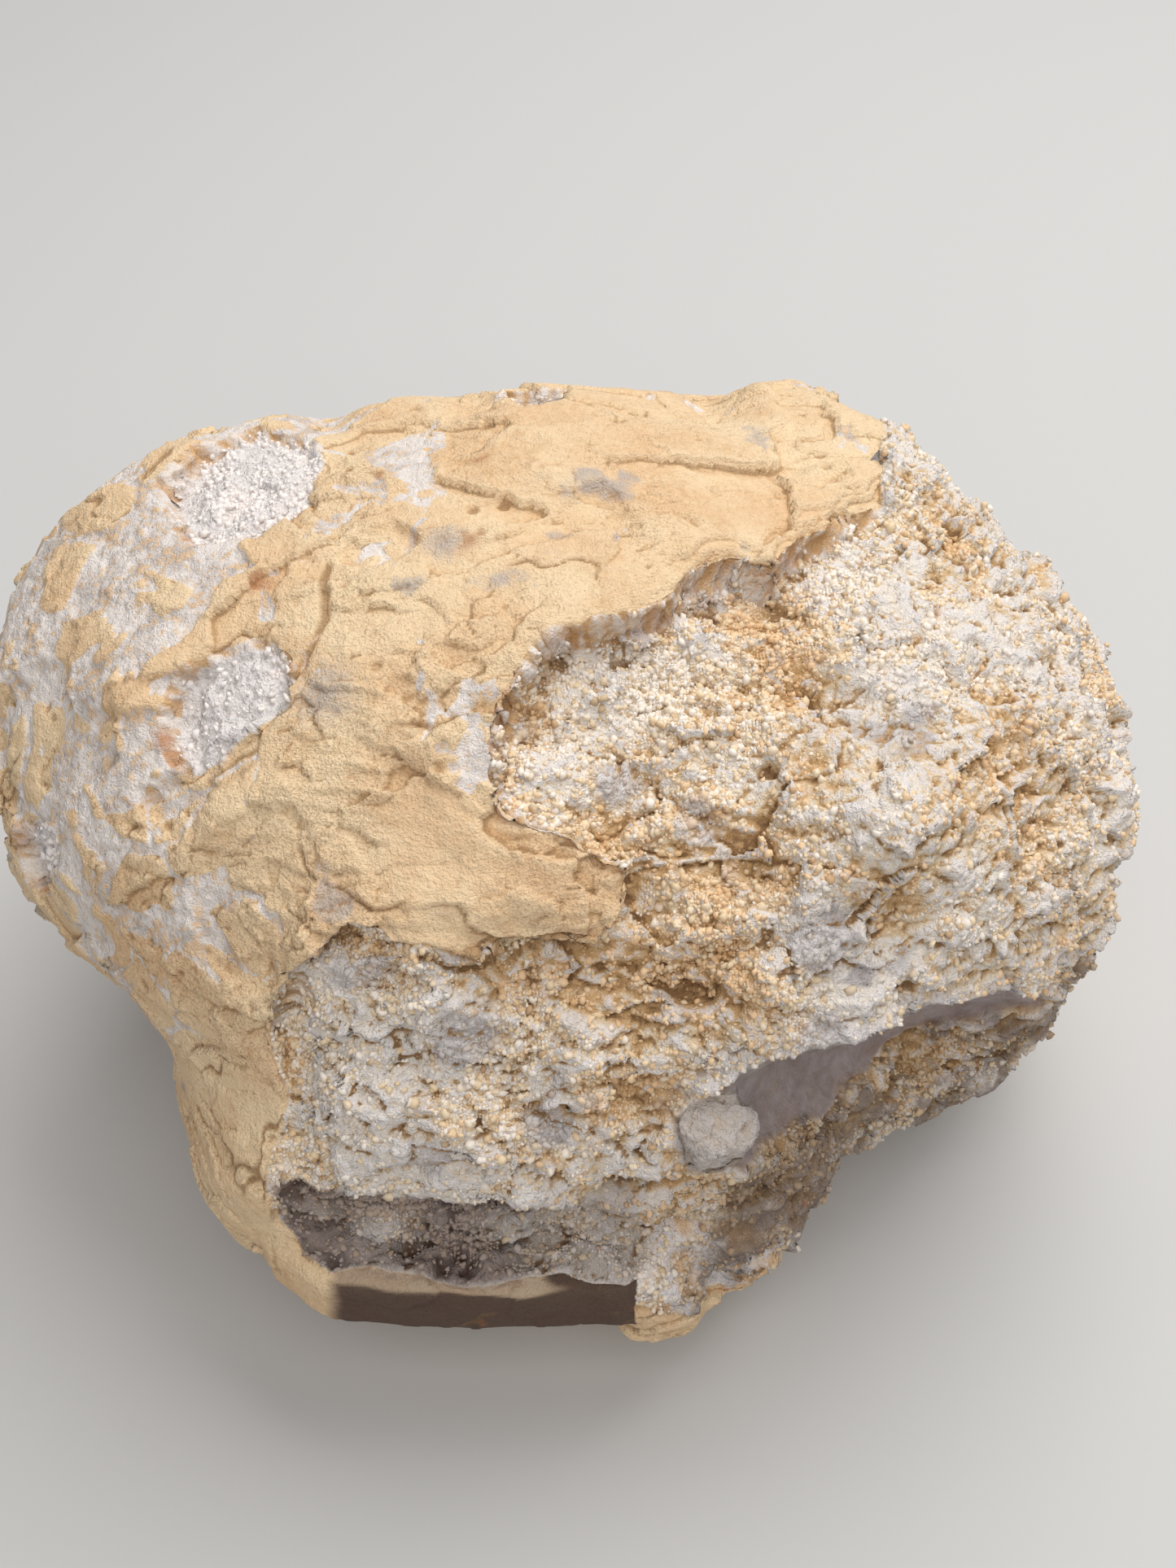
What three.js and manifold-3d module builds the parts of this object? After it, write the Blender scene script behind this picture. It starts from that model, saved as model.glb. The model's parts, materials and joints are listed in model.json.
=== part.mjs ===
// A whole, unopened geode nodule lying on its foot: one stone, a tan clay rind flaked off pale chalcedony.
// Millimetres, +Z up. The origin lies on the resting plane, under the middle of the stone.
import * as THREE from "three";
import { mergeVertices } from "three/addons/utils/BufferGeometryUtils.js";
import Module from "manifold-3d";

const wasm = await Module();
wasm.setup();

const DEG = Math.PI / 180;

// Driving dimensions of the nodule.
const HEART = new THREE.Vector3(0, 0, 50); // all of the surface is laid out around this point
const CENTRING = [0.5, 0, 0]; // last shift, which brings the middle of the stone over the origin
const MESH_DETAIL = 13; // splits of each edge of the icosahedron that every skin starts from
const CROWDING = 0.3; // how far the skin's points are drawn toward the scarred front
const RIND_THICKNESS = 4.4; // clay rind over the chalcedony
const CHIP_THICKNESS = 2; // the part of the rind that a shallow chip takes
const BLEND = 5; // how softly two masses or flats run into each other
const OUTLINE_STEP = 5; // spacing of the points along a broken rind edge
const OUTLINE_JITTER = 0.7; // how far those points stray from the drawn outline
const REACH = 130; // longer than the stone's greatest radius
const MERGE_GAP = 1e-4; // points nearer than this are one point
const FLAT_SLANT = 0.2; // a flat is left out where it would lie further away than its distance over this
const SCAR_SEED = 40; // chance of the first scar's edge; the others follow it
const CHIP_SEED = 80; // chance of the first chip's edge
const HOLLOW_FACET = 3.6; // length of half axis for every two flat sides round a broken hollow

// Side of the stone that the skin's points are drawn toward, as bearing and height angle in degrees.
const FRONT = { lon: -80, lat: 35 };

// Relief of the skins: distance between two bumps, their height and the chance that they come from.
const UNDULATION = { size: 26, height: 1.5, seed: 3 };
const NODULES = { size: 21, height: 1.6, seed: 23 };
const DENTS = { size: 9, height: 0.6, seed: 5 };
const CHIP_DENTS = { size: 13, height: 0.4, seed: 8 };
const LARGE_LUMPS = { size: 13, height: 2.8, seed: 11 };
const SMALL_LUMPS = { size: 7, height: 1.6, seed: 17 };
const NODULE_SINK = 1; // lowers the rind by its nodules' mean height
const LUMP_SINK = 2.4; // lowers the chalcedony by its lumps' mean height

// Three overlapping swollen masses: centre and half axes.
const MASSES = [
  { name: "cap", at: [-1, 8, 59], half: [82, 65, 43] },
  { name: "lower body", at: [-7, -9, 36], half: [53, 66, 39] },
  { name: "south-east flank", at: [20, 0, 34], half: [60, 46, 32] },
];

// Broad bumps (positive) and hollows (negative) of the whole stone, by bearing, height angle and spread.
const SWELLS = [
  { name: "north-west shoulder", lon: 152, lat: 24, spread: 22, height: 7 },
  { name: "north-east crest", lon: 42, lat: 34, spread: 14, height: 7 },
  { name: "north dip", lon: 60, lat: 50, spread: 8, height: -3.5 },
  { name: "north crest", lon: 110, lat: 30, spread: 18, height: 3 },
  { name: "west foot", lon: -117, lat: -18, spread: 12, height: 7 },
  { name: "south foot", lon: -66, lat: -30, spread: 18, height: 4 },
  { name: "west underside", lon: -158, lat: -8, spread: 18, height: -5 },
  { name: "south lip", lon: -88, lat: -20, spread: 10, height: -2 },
  { name: "east point", lon: -20, lat: -4, spread: 12, height: 3 },
  { name: "south-east apron", lon: -62, lat: 12, spread: 17, height: 7 },
  { name: "knob", lon: -42, lat: 30, spread: 7, height: 3 },
];

// Broad bumps and hollows of the chalcedony alone, where the rind is thinner or the surface is dished.
const BARE_SWELLS = [
  { name: "pocket", lon: -80, lat: 60, spread: 15, height: -5 },
  { name: "pocket wall", lon: 0, lat: 62, spread: 14, height: -3 },
  { name: "gully", lon: -75, lat: 34, spread: 8, height: -4 },
  { name: "knob", lon: -42, lat: 31, spread: 8, height: 3 },
  { name: "east swell", lon: -14, lat: 20, spread: 30, height: 3.3 },
  { name: "north-east swell", lon: 24, lat: 36, spread: 12, height: 1.8 },
  { name: "front swell", lon: -105, lat: 10, spread: 18, height: 2 },
  { name: "west window", lon: -154, lat: 41, spread: 10, height: 2 },
  { name: "crown patch", lon: 158, lat: 44, spread: 15, height: 2.4 },
];

// Broken flats: direction of the face and its distance from the heart.
const FLATS = [
  { name: "north-east bevel", lon: 36, lat: 30, distance: 75 },
  { name: "north crest", lon: 98, lat: 40, distance: 61.5 },
  { name: "front slope", lon: -98, lat: 33, distance: 61 },
  { name: "front foot", lon: -115, lat: -14, distance: 73 },
  { name: "front sill", lon: -92, lat: -8, distance: 64.5 },
  { name: "north-west crest", lon: 130, lat: 38, distance: 76 },
  { name: "west side", lon: 176, lat: -12, distance: 76 },
  { name: "north-west side", lon: 138, lat: -8, distance: 74 },
  { name: "north side", lon: 82, lat: -14, distance: 62 },
  { name: "north-east side", lon: 44, lat: -10, distance: 68 },
];

// Places where the rind has flaked off. The outline is drawn in the plane across the bearing and height
// angle: first number to the right, second number up, seen from outside, both from the heart. The flaked
// place starts a certain distance out from the heart, so that it leaves the far side alone.
const SCARS = [
  {
    name: "upper scar",
    lon: -90,
    lat: 75,
    depth: 0,
    outline: [
      [54, 46], [51, 37], [41, 23], [32, 15], [27, 9], [21, 10], [16, 7], [12, 0], [1, -3], [-3, -7],
      [-5, -12], [-8, -17], [-8, -23], [-5, -26], [1, -28], [5, -30], [9, -32], [8, -38], [8, -48], [30, -80],
      [105, -80], [105, 34], [84, 50], [66, 54],
    ],
  },
  {
    name: "front scar",
    lon: -90,
    lat: 12,
    depth: 0,
    outline: [
      [9, 30], [8, 20], [4, 17], [-5, 17], [-12, 16], [-20, 18], [-24, 19], [-27, 16], [-32, 12], [-33, 9],
      [-34, 1], [-34, -9], [-37, -14], [-36, -24], [-8, -36], [8, -36], [26, -44], [62, -44],
      [95, -24], [95, 30], [40, 40],
    ],
  },
  {
    name: "east scar",
    lon: -5,
    lat: 8,
    depth: 48,
    outline: [
      [-60, -34], [-20, -36], [4, -30], [15, -18], [26, -6], [26, 8], [38, 20], [42, 32], [50, 46], [-60, 50],
    ],
  },
  {
    name: "west window",
    lon: -154,
    lat: 41,
    depth: 40,
    outline: [[-6, 4], [-4, 8], [2, 9], [6, 6], [5, 1], [7, -4], [5, -9], [0, -8], [-5, -6], [-7, -1]],
  },
  {
    name: "crown patch",
    lon: 158,
    lat: 44,
    depth: 40,
    outline: [[-13, -3], [-10, 4], [-5, 9], [4, 10], [11, 7], [14, 0], [9, -5], [3, -9], [-6, -8]],
  },
  {
    name: "west patch",
    lon: -162,
    lat: 12,
    depth: 40,
    outline: [[-5, -3], [-4, 4], [1, 6], [5, 3], [4, -4], [-1, -6]],
  },
  {
    name: "crest patch",
    lon: 97,
    lat: 56,
    depth: 40,
    outline: [[-5, -3], [-3, 3], [3, 4], [6, 0], [3, -4]],
  },
  {
    name: "back scar",
    lon: 112,
    lat: -2,
    depth: 35,
    outline: [
      [-22, -8], [-20, 3], [-13, 9], [-5, 7], [3, 14], [12, 12], [19, 4], [24, -3], [17, -10], [8, -9],
      [0, -16], [-12, -14],
    ],
  },
  {
    name: "north-east patch",
    lon: 48,
    lat: -8,
    depth: 35,
    outline: [[-12, -4], [-9, 5], [-1, 9], [7, 6], [13, 8], [12, -3], [4, -9], [-5, -10]],
  },
  {
    name: "underside scar",
    lon: -176,
    lat: -24,
    depth: 25,
    outline: [[-14, -7], [-12, 4], [-4, 9], [6, 6], [13, 9], [15, -2], [7, -9], [-4, -8]],
  },
];

// Shallow chips that leave clay behind, drawn in the same way.
const CHIPS = [
  {
    name: "west step",
    lon: -132,
    lat: 33,
    depth: 40,
    outline: [[-6, 3], [-1, 5], [4, 2], [8, -4], [9, -11], [5, -18], [-3, -17], [-8, -8]],
  },
  {
    name: "small west facet",
    lon: -147,
    lat: 32,
    depth: 40,
    outline: [[-5, -4], [-1, 5], [4, 1], [3, -6]],
  },
  {
    name: "top trench",
    lon: -90,
    lat: 80,
    depth: 30,
    outline: [[-1, 12], [2, 17], [6, 19], [8, 13], [12, 8], [10, 4], [5, 7], [1, 9]],
  },
  {
    name: "top flake",
    lon: -90,
    lat: 80,
    depth: 30,
    outline: [[-29, 6], [-27, 11], [-21, 12], [-17, 8], [-21, 5], [-25, 4]],
  },
  {
    name: "north-east step",
    lon: -90,
    lat: 80,
    depth: 20,
    outline: [[27, 24], [25, 33], [31, 39], [28, 52], [60, 60], [68, 46], [50, 41], [43, 31], [34, 28]],
  },
  {
    name: "west terrace",
    lon: -168,
    lat: 22,
    depth: 40,
    outline: [[-14, -8], [-12, 4], [-6, 9], [1, 6], [5, 12], [12, 9], [9, -1], [14, -9], [3, -12], [-6, -13]],
  },
  {
    name: "back step",
    lon: 80,
    lat: 18,
    depth: 30,
    outline: [[-26, -6], [-18, 6], [-7, 10], [6, 7], [18, 13], [24, 4], [15, -5], [4, -3], [-8, -9]],
  },
  {
    name: "west foot chip",
    lon: -152,
    lat: -20,
    depth: 30,
    outline: [[-9, -5], [-7, 4], [0, 8], [8, 5], [10, -3], [2, -8]],
  },
];

// Blunt blocks of chalcedony that stand out of the scars.
const BLOCKS = [
  { name: "front block", at: [19, -58, 54], half: [5.5, 5, 5], turn: 20, tip: 25 },
  { name: "knob", at: [39, -34, 81], half: [8, 7, 7], turn: 35, tip: 10 },
  { name: "east bump", at: [69, -11, 66], half: [8, 10, 8], turn: 10, tip: 0 },
  { name: "south corner", at: [12, -60.5, 22], half: [8, 7, 9], turn: 15, tip: 0 },
  { name: "lower east bump", at: [66, -20, 53], half: [8, 9, 7], turn: -10, tip: 20 },
];

// Smooth hollows broken out of the stone: middle, half axes, turn about the vertical, and how far the hollow
// tips northward and leans eastward.
const HOLLOWS = [
  { name: "dark undercut recess", at: [-10, -75, 40], half: [36, 18, 9], turn: 0, tip: 6, lean: 0 },
  { name: "shell-shaped fracture", at: [67.5, -70, 45.4], half: [52, 41, 20], turn: 2, tip: -12, lean: 18 },
  { name: "north notch", at: [-12.5, 28, 103.2], half: [4.5, 15, 3.6], turn: 8, tip: -33, lean: 0 },
  { name: "north-east notch", at: [20.5, 39, 96.2], half: [5, 14, 4.4], turn: -6, tip: -33, lean: 0 },
  { name: "north-west notch", at: [-33, 31, 98], half: [4.5, 13, 3.2], turn: 12, tip: -33, lean: 0 },
];

// Flat-faced sill of clay under the recess: its plan, from west round the front to east, and its top and foot.
const SILL = {
  plan: [[-38, -45], [-38, -60], [-30, -65.5], [-10, -67], [8, -66.5], [13, -60], [13, -45]],
  top: 33,
  foot: 22.5,
  bevel: 1,
};

// Unit vector from a bearing (0 is east, 90 is north) and a height angle, both in degrees.
function toward(lon, lat) {
  return new THREE.Vector3(
    Math.cos(lat * DEG) * Math.cos(lon * DEG),
    Math.cos(lat * DEG) * Math.sin(lon * DEG),
    Math.sin(lat * DEG),
  );
}

// Repeatable number between 0 and 1 for a whole-numbered grid point.
function chance(x, y, z, seed) {
  let h = Math.imul(x, 374761393) ^ Math.imul(y, 668265263);
  h ^= Math.imul(z, 2147483647) ^ Math.imul(seed, 974634777);
  h = Math.imul(h ^ (h >>> 13), 1274126177);
  h = Math.imul(h ^ (h >>> 16), 2246822519);
  return ((h ^ (h >>> 15)) >>> 0) / 4294967296;
}

// Smooth noise between minus and plus the relief's height.
function waves(point, relief) {
  const { size, seed } = relief;
  const x = point.x / size;
  const y = point.y / size;
  const z = point.z / size;
  const ix = Math.floor(x);
  const iy = Math.floor(y);
  const iz = Math.floor(z);
  const ease = (t) => t * t * (3 - 2 * t);
  const fx = ease(x - ix);
  const fy = ease(y - iy);
  const fz = ease(z - iz);
  let sum = 0;
  for (const cx of [0, 1]) {
    for (const cy of [0, 1]) {
      for (const cz of [0, 1]) {
        const weight = (cx ? fx : 1 - fx) * (cy ? fy : 1 - fy) * (cz ? fz : 1 - fz);
        sum += weight * chance(ix + cx, iy + cy, iz + cz, seed);
      }
    }
  }
  return (sum * 2 - 1) * relief.height;
}

// Rounded lumps: the relief's height on top of one, falling to about 0 in the creases between them.
function lumps(point, relief) {
  const { size, seed } = relief;
  const x = point.x / size;
  const y = point.y / size;
  const z = point.z / size;
  const ix = Math.floor(x);
  const iy = Math.floor(y);
  const iz = Math.floor(z);
  let nearest = 1;
  for (let cx = ix - 1; cx <= ix + 1; cx += 1) {
    for (let cy = iy - 1; cy <= iy + 1; cy += 1) {
      for (let cz = iz - 1; cz <= iz + 1; cz += 1) {
        const dx = cx + chance(cx, cy, cz, seed) - x;
        const dy = cy + chance(cx, cy, cz, seed + 1) - y;
        const dz = cz + chance(cx, cy, cz, seed + 2) - z;
        nearest = Math.min(nearest, dx * dx + dy * dy + dz * dz);
      }
    }
  }
  return (1 - nearest) * relief.height;
}

// The larger of two lengths, with the crease between them filled over the blend width.
function blendedMax(a, b) {
  const near = Math.max(BLEND - Math.abs(a - b), 0) / BLEND;
  return Math.max(a, b) + (near * near * BLEND) / 4;
}

// Distance from the heart to a mass's surface along a direction.
function massRadius(direction, mass) {
  const start = HEART.clone().sub(new THREE.Vector3(...mass.at)).divide(new THREE.Vector3(...mass.half));
  const step = direction.clone().divide(new THREE.Vector3(...mass.half));
  const a = step.lengthSq();
  const b = start.dot(step);
  const c = start.lengthSq() - 1;
  return (-b + Math.sqrt(b * b - a * c)) / a;
}

// Sum of the bumps and hollows in a list along a direction.
function swelling(direction, list) {
  let sum = 0;
  for (const swell of list) {
    const angle = direction.angleTo(toward(swell.lon, swell.lat)) / DEG;
    sum += swell.height * Math.exp(-((angle / swell.spread) ** 2));
  }
  return sum;
}

// Distance from the heart to the smooth outer skin, before any roughness.
function smoothRadius(direction) {
  let radius = 0;
  for (const mass of MASSES) {
    radius = blendedMax(radius, massRadius(direction, mass));
  }
  radius += swelling(direction, SWELLS);
  for (const flat of FLATS) {
    const slant = direction.dot(toward(flat.lon, flat.lat));
    if (slant > FLAT_SLANT) {
      radius = -blendedMax(-radius, -flat.distance / slant);
    }
  }
  return radius;
}

// Distance from the heart to the stone's mean surface, with the broad undulation that all its layers share.
function layerRadius(direction) {
  const radius = smoothRadius(direction);
  return radius + waves(direction.clone().multiplyScalar(radius), UNDULATION);
}

// Outer skin of the clay rind: low nodules and small dents.
function rindRadius(direction) {
  const radius = layerRadius(direction);
  const point = direction.clone().multiplyScalar(radius);
  return radius + lumps(point, NODULES) - NODULE_SINK + waves(point, DENTS);
}

// Clay left in a shallow chip: a smoother, flatter break below the outer skin.
function chippedRadius(direction) {
  const radius = layerRadius(direction);
  const point = direction.clone().multiplyScalar(radius);
  return radius - CHIP_THICKNESS + lumps(point, NODULES) - NODULE_SINK + waves(point, CHIP_DENTS);
}

// Skin of the bare chalcedony: one rind thickness down, dished and swollen, covered in rounded lumps.
function bareRadius(direction) {
  const radius = layerRadius(direction);
  const point = direction.clone().multiplyScalar(radius);
  const relief = lumps(point, LARGE_LUMPS) + lumps(point, SMALL_LUMPS) - LUMP_SINK;
  return radius - RIND_THICKNESS + swelling(direction, BARE_SWELLS) + relief;
}

// Solid from a closed geometry.
function solidOf(geometry) {
  const plain = geometry.index ? geometry.toNonIndexed() : geometry.clone();
  plain.deleteAttribute("normal");
  plain.deleteAttribute("uv");
  const merged = mergeVertices(plain, MERGE_GAP);
  const mesh = new wasm.Mesh({
    numProp: 3,
    vertProperties: new Float32Array(merged.getAttribute("position").array),
    triVerts: new Uint32Array(merged.index.array),
  });
  return new wasm.Manifold(mesh);
}

// Closed skin around the heart whose distance in each direction comes from a function.
function skinSolid(radiusOf) {
  const geometry = new THREE.IcosahedronGeometry(1, MESH_DETAIL);
  const position = geometry.getAttribute("position");
  const direction = new THREE.Vector3();
  const front = toward(FRONT.lon, FRONT.lat);
  for (let i = 0; i < position.count; i += 1) {
    direction.fromBufferAttribute(position, i).normalize().addScaledVector(front, CROWDING).normalize();
    const radius = radiusOf(direction);
    position.setXYZ(i, direction.x * radius, direction.y * radius, direction.z * radius);
  }
  geometry.translate(HEART.x, HEART.y, HEART.z);
  return solidOf(geometry);
}

// Closed outline with extra points along its sides, each strayed a little, as a flaked edge runs.
function brokenOutline(corners, seed) {
  const points = [];
  for (let i = 0; i < corners.length; i += 1) {
    const a = new THREE.Vector2(...corners[i]);
    const b = new THREE.Vector2(...corners[(i + 1) % corners.length]);
    const count = Math.max(1, Math.round(a.distanceTo(b) / OUTLINE_STEP));
    for (let k = 0; k < count; k += 1) {
      const point = a.clone().lerp(b, k / count);
      point.x += (chance(i, k, 0, seed) * 2 - 1) * OUTLINE_JITTER;
      point.y += (chance(i, k, 1, seed) * 2 - 1) * OUTLINE_JITTER;
      points.push(point);
    }
  }
  return points;
}

// Prism over a scar's outline, from a depth that far out from the heart to outside the stone.
function scarSolid(scar, seed) {
  const shape = new THREE.Shape(brokenOutline(scar.outline, seed));
  const geometry = new THREE.ExtrudeGeometry(shape, { depth: REACH, bevelEnabled: false });
  const outward = toward(scar.lon, scar.lat);
  const right = new THREE.Vector3(-Math.sin(scar.lon * DEG), Math.cos(scar.lon * DEG), 0);
  const up = outward.clone().cross(right);
  geometry.applyMatrix4(new THREE.Matrix4().makeBasis(right, up, outward));
  const start = outward.clone().multiplyScalar(scar.depth).add(HEART);
  geometry.translate(start.x, start.y, start.z);
  return solidOf(geometry);
}

// Ellipsoid that breaks out a hollow.
function hollowSolid(hollow) {
  const sides = Math.round(Math.max(...hollow.half) / HOLLOW_FACET);
  const geometry = new THREE.SphereGeometry(1, 2 * sides, sides);
  geometry.scale(...hollow.half);
  geometry.rotateY(hollow.lean * DEG);
  geometry.rotateX(hollow.tip * DEG);
  geometry.rotateZ(hollow.turn * DEG);
  geometry.translate(...hollow.at);
  return solidOf(geometry);
}

// Blunt block with flat faces.
function blockSolid(block) {
  const geometry = new THREE.DodecahedronGeometry(1);
  geometry.scale(...block.half);
  geometry.rotateX(block.tip * DEG);
  geometry.rotateZ(block.turn * DEG);
  geometry.translate(...block.at);
  return solidOf(geometry);
}

// Slab of clay over the sill's plan, with its edges knocked off.
function sillSolid() {
  const plan = new THREE.Shape(SILL.plan.map(([x, y]) => new THREE.Vector2(x, y)));
  const geometry = new THREE.ExtrudeGeometry(plan, {
    depth: SILL.top - SILL.foot - 2 * SILL.bevel,
    bevelThickness: SILL.bevel,
    bevelSize: SILL.bevel,
    bevelSegments: 1,
  });
  geometry.translate(0, 0, SILL.foot + SILL.bevel);
  return solidOf(geometry);
}

let rind = skinSolid(rindRadius);
CHIPS.forEach((chip, index) => {
  rind = rind.subtract(scarSolid(chip, CHIP_SEED + index));
});
rind = rind.add(skinSolid(chippedRadius));
SCARS.forEach((scar, index) => {
  rind = rind.subtract(scarSolid(scar, SCAR_SEED + index));
});
let stone = rind.add(skinSolid(bareRadius));

for (const hollow of HOLLOWS) {
  stone = stone.subtract(hollowSolid(hollow));
}
for (const block of BLOCKS) {
  stone = stone.add(blockSolid(block));
}
stone = stone.add(sillSolid());

// Everything under the resting plane is worn away flat.
const under = new THREE.BoxGeometry(2 * REACH, 2 * REACH, REACH);
under.translate(0, 0, -REACH / 2);
stone = stone.subtract(solidOf(under));

// Named mesh of the finished solid.
function meshOf(solid, name, material) {
  const result = solid.getMesh();
  const geometry = new THREE.BufferGeometry();
  geometry.setAttribute("position", new THREE.BufferAttribute(new Float32Array(result.vertProperties), 3));
  geometry.setIndex(new THREE.BufferAttribute(new Uint32Array(result.triVerts), 1));
  geometry.translate(...CENTRING);
  geometry.computeVertexNormals();
  const mesh = new THREE.Mesh(geometry, material);
  mesh.name = name;
  return mesh;
}

const clay = new THREE.MeshStandardMaterial({ color: 0xd9bd98, roughness: 0.92, metalness: 0 });
const geode = new THREE.Group();
geode.add(meshOf(stone, "geode", clay));

export default geode;
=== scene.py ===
"""Looks of a weathered, unopened geode nodule.

The stone is one lump: a chalky tan clay rind, flaked off in scars that bare the granular white
chalcedony under it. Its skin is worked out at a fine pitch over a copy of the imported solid, parted into
regions so that each piece stays light, and set with the grains that have grown on the bare places. Places
and lengths are in millimetres in the shared frame until a mesh is written, which is in metres.
"""

import itertools
import json
import logging
import math
from dataclasses import dataclass, field
from enum import Enum

import bmesh
import bpy
import numpy as np
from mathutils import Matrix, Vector

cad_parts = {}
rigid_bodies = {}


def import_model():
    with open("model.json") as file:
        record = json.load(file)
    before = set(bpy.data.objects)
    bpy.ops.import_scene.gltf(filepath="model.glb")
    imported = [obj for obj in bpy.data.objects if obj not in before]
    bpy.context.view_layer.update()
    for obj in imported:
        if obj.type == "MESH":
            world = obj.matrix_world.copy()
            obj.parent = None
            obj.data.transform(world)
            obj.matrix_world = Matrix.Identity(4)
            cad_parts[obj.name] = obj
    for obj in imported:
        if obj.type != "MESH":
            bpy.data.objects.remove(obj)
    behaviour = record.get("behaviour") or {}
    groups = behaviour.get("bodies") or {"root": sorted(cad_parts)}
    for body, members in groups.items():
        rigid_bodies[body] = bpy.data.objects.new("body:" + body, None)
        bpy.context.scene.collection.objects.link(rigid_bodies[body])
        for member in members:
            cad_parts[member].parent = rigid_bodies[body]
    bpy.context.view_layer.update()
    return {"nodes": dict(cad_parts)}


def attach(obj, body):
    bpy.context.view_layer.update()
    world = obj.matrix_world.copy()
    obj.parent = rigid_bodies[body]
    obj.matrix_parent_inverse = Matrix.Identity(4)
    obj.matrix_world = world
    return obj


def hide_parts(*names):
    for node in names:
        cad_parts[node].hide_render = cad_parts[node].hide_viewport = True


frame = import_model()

log = logging.getLogger("geode")

Array = np.ndarray

NODE = "geode"
BODY = "root"
BAKE_MAP = "OFBake"

MM = 0.001
DEG = math.pi / 180
FAR = 1e3
HEART = np.array((0.5, 0.0, 50.0))
SHIFT = np.array((0.5, 0.0, 0.0))


class Tint(Enum):
    """Colours of the stone and the studio, as sRGB hex."""

    CLAY = "#e5c096"
    CLAY_PALE = "#eed3ac"
    CLAY_DEEP = "#cfa474"
    CLAY_SHADE = "#a07d57"
    # painted shade: the dark brown of the sill's face, which light from above leaves in shade
    CLAY_BROWN = "#4f3d35"
    # painted shade: the ground under the shelf, brown and darkened as it lies in shade
    EARTH = "#75604f"
    LIME = "#e8ded6"
    LIME_WHITE = "#e9e1dd"
    LIME_GREY = "#b7aba3"
    CREAM = "#e2cba8"
    WHITE = "#ebe0d3"
    # orange-brown, laid on the crevices of the bare stone and the hollows of the grains as painted shade
    HONEY = "#c8a06d"
    GLASS = "#aca6a9"
    RUST = "#ab6c44"
    # dark brown of the pits, also laid as painted shade in the deepest crevices
    PIT = "#8a6745"
    # painted shade: the recess under the lip, dark violet-brown over the stone's own grey-violet
    RECESS = "#523f3a"
    RECESS_PALE = "#8c7970"
    # the grey-lavender of the conchoidal shelf, darkened by painted shade as it faces down
    SHELF = "#7d6c69"
    SHELF_PALE = "#9d9090"
    FLOOR = "#c2c0bd"

    @property
    def rgba(self) -> tuple[float, float, float, float]:
        """Linear red, green, blue and alpha."""
        parts = [int(self.value[i : i + 2], 16) / 255 for i in (1, 3, 5)]
        linear = [p / 12.92 if p <= 0.04045 else ((p + 0.055) / 1.055) ** 2.4 for p in parts]
        return (*linear, 1.0)


class Region(Enum):
    """Regions of the skin, each with the direction that it faces."""

    CROWN = (0.0, 0.0, 1.0)
    FRONT = (-0.05, -0.98, -0.18)
    EAST = (0.93, -0.36, 0.1)
    WEST = (-0.95, -0.3, 0.1)
    NORTH_EAST = (0.55, 0.83, 0.1)
    NORTH_WEST = (-0.6, 0.8, 0.1)
    FOOT = (0.0, 0.0, -1.0)

    @property
    def label(self) -> str:
        """Name of the region, for the piece that it becomes."""
        return self.name.lower()

    @property
    def axis(self) -> Array:
        """Unit vector that the region faces along."""
        return np.array(self.value) / np.linalg.norm(self.value)

    @property
    def reach(self) -> float:
        """Weight that widens the front a little against its neighbours."""
        return 0.02 if self is Region.FRONT else 0.0

    @classmethod
    def owners(cls, points: Array) -> Array:
        """Number of the region that each point belongs to, in the order of the regions."""
        way = from_heart(points)
        return np.argmax(np.stack([way @ region.axis + region.reach for region in cls], axis=1), axis=1)


def ease(low: float, high: float, value: Array) -> Array:
    """Eases from 0 to 1 between two values.

    Args:
        low: where the result is 0; it may be above high.
        high: where the result is 1.
        value: numbers to map.

    Returns:
        The eased numbers.
    """
    t = np.clip((value - low) / (high - low), 0.0, 1.0)
    return t * t * (3 - 2 * t)


def between(value: Array, rise: tuple, fall: tuple) -> Array:
    """Eases from 0 to 1 over the first pair of values, and back to 0 over the second."""
    return ease(*rise, value) * ease(*fall, value)


def bell(gap: Array, width: float) -> Array:
    """1 where the gap is 0, and less on both sides of it."""
    return np.exp(-((gap / width) ** 2))


def from_heart(points: Array) -> Array:
    """Unit vectors from the heart to the points."""
    away = points - HEART
    return away / np.linalg.norm(away, axis=1)[:, None]


def toward(lon: float, lat: float) -> Array:
    """Unit vector from a bearing and a height angle in degrees."""
    flat = math.cos(lat * DEG)
    return np.array((flat * math.cos(lon * DEG), flat * math.sin(lon * DEG), math.sin(lat * DEG)))


def turned(axis: int, angle: float) -> Array:
    """Rotation matrix about one axis, 0, 1 or 2 for x, y or z, for an angle in degrees."""
    c, s = math.cos(angle * DEG), math.sin(angle * DEG)
    a, b = (axis + 1) % 3, (axis + 2) % 3
    matrix = np.eye(3)
    matrix[a, a] = matrix[b, b] = c
    matrix[a, b], matrix[b, a] = -s, s
    return matrix


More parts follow.
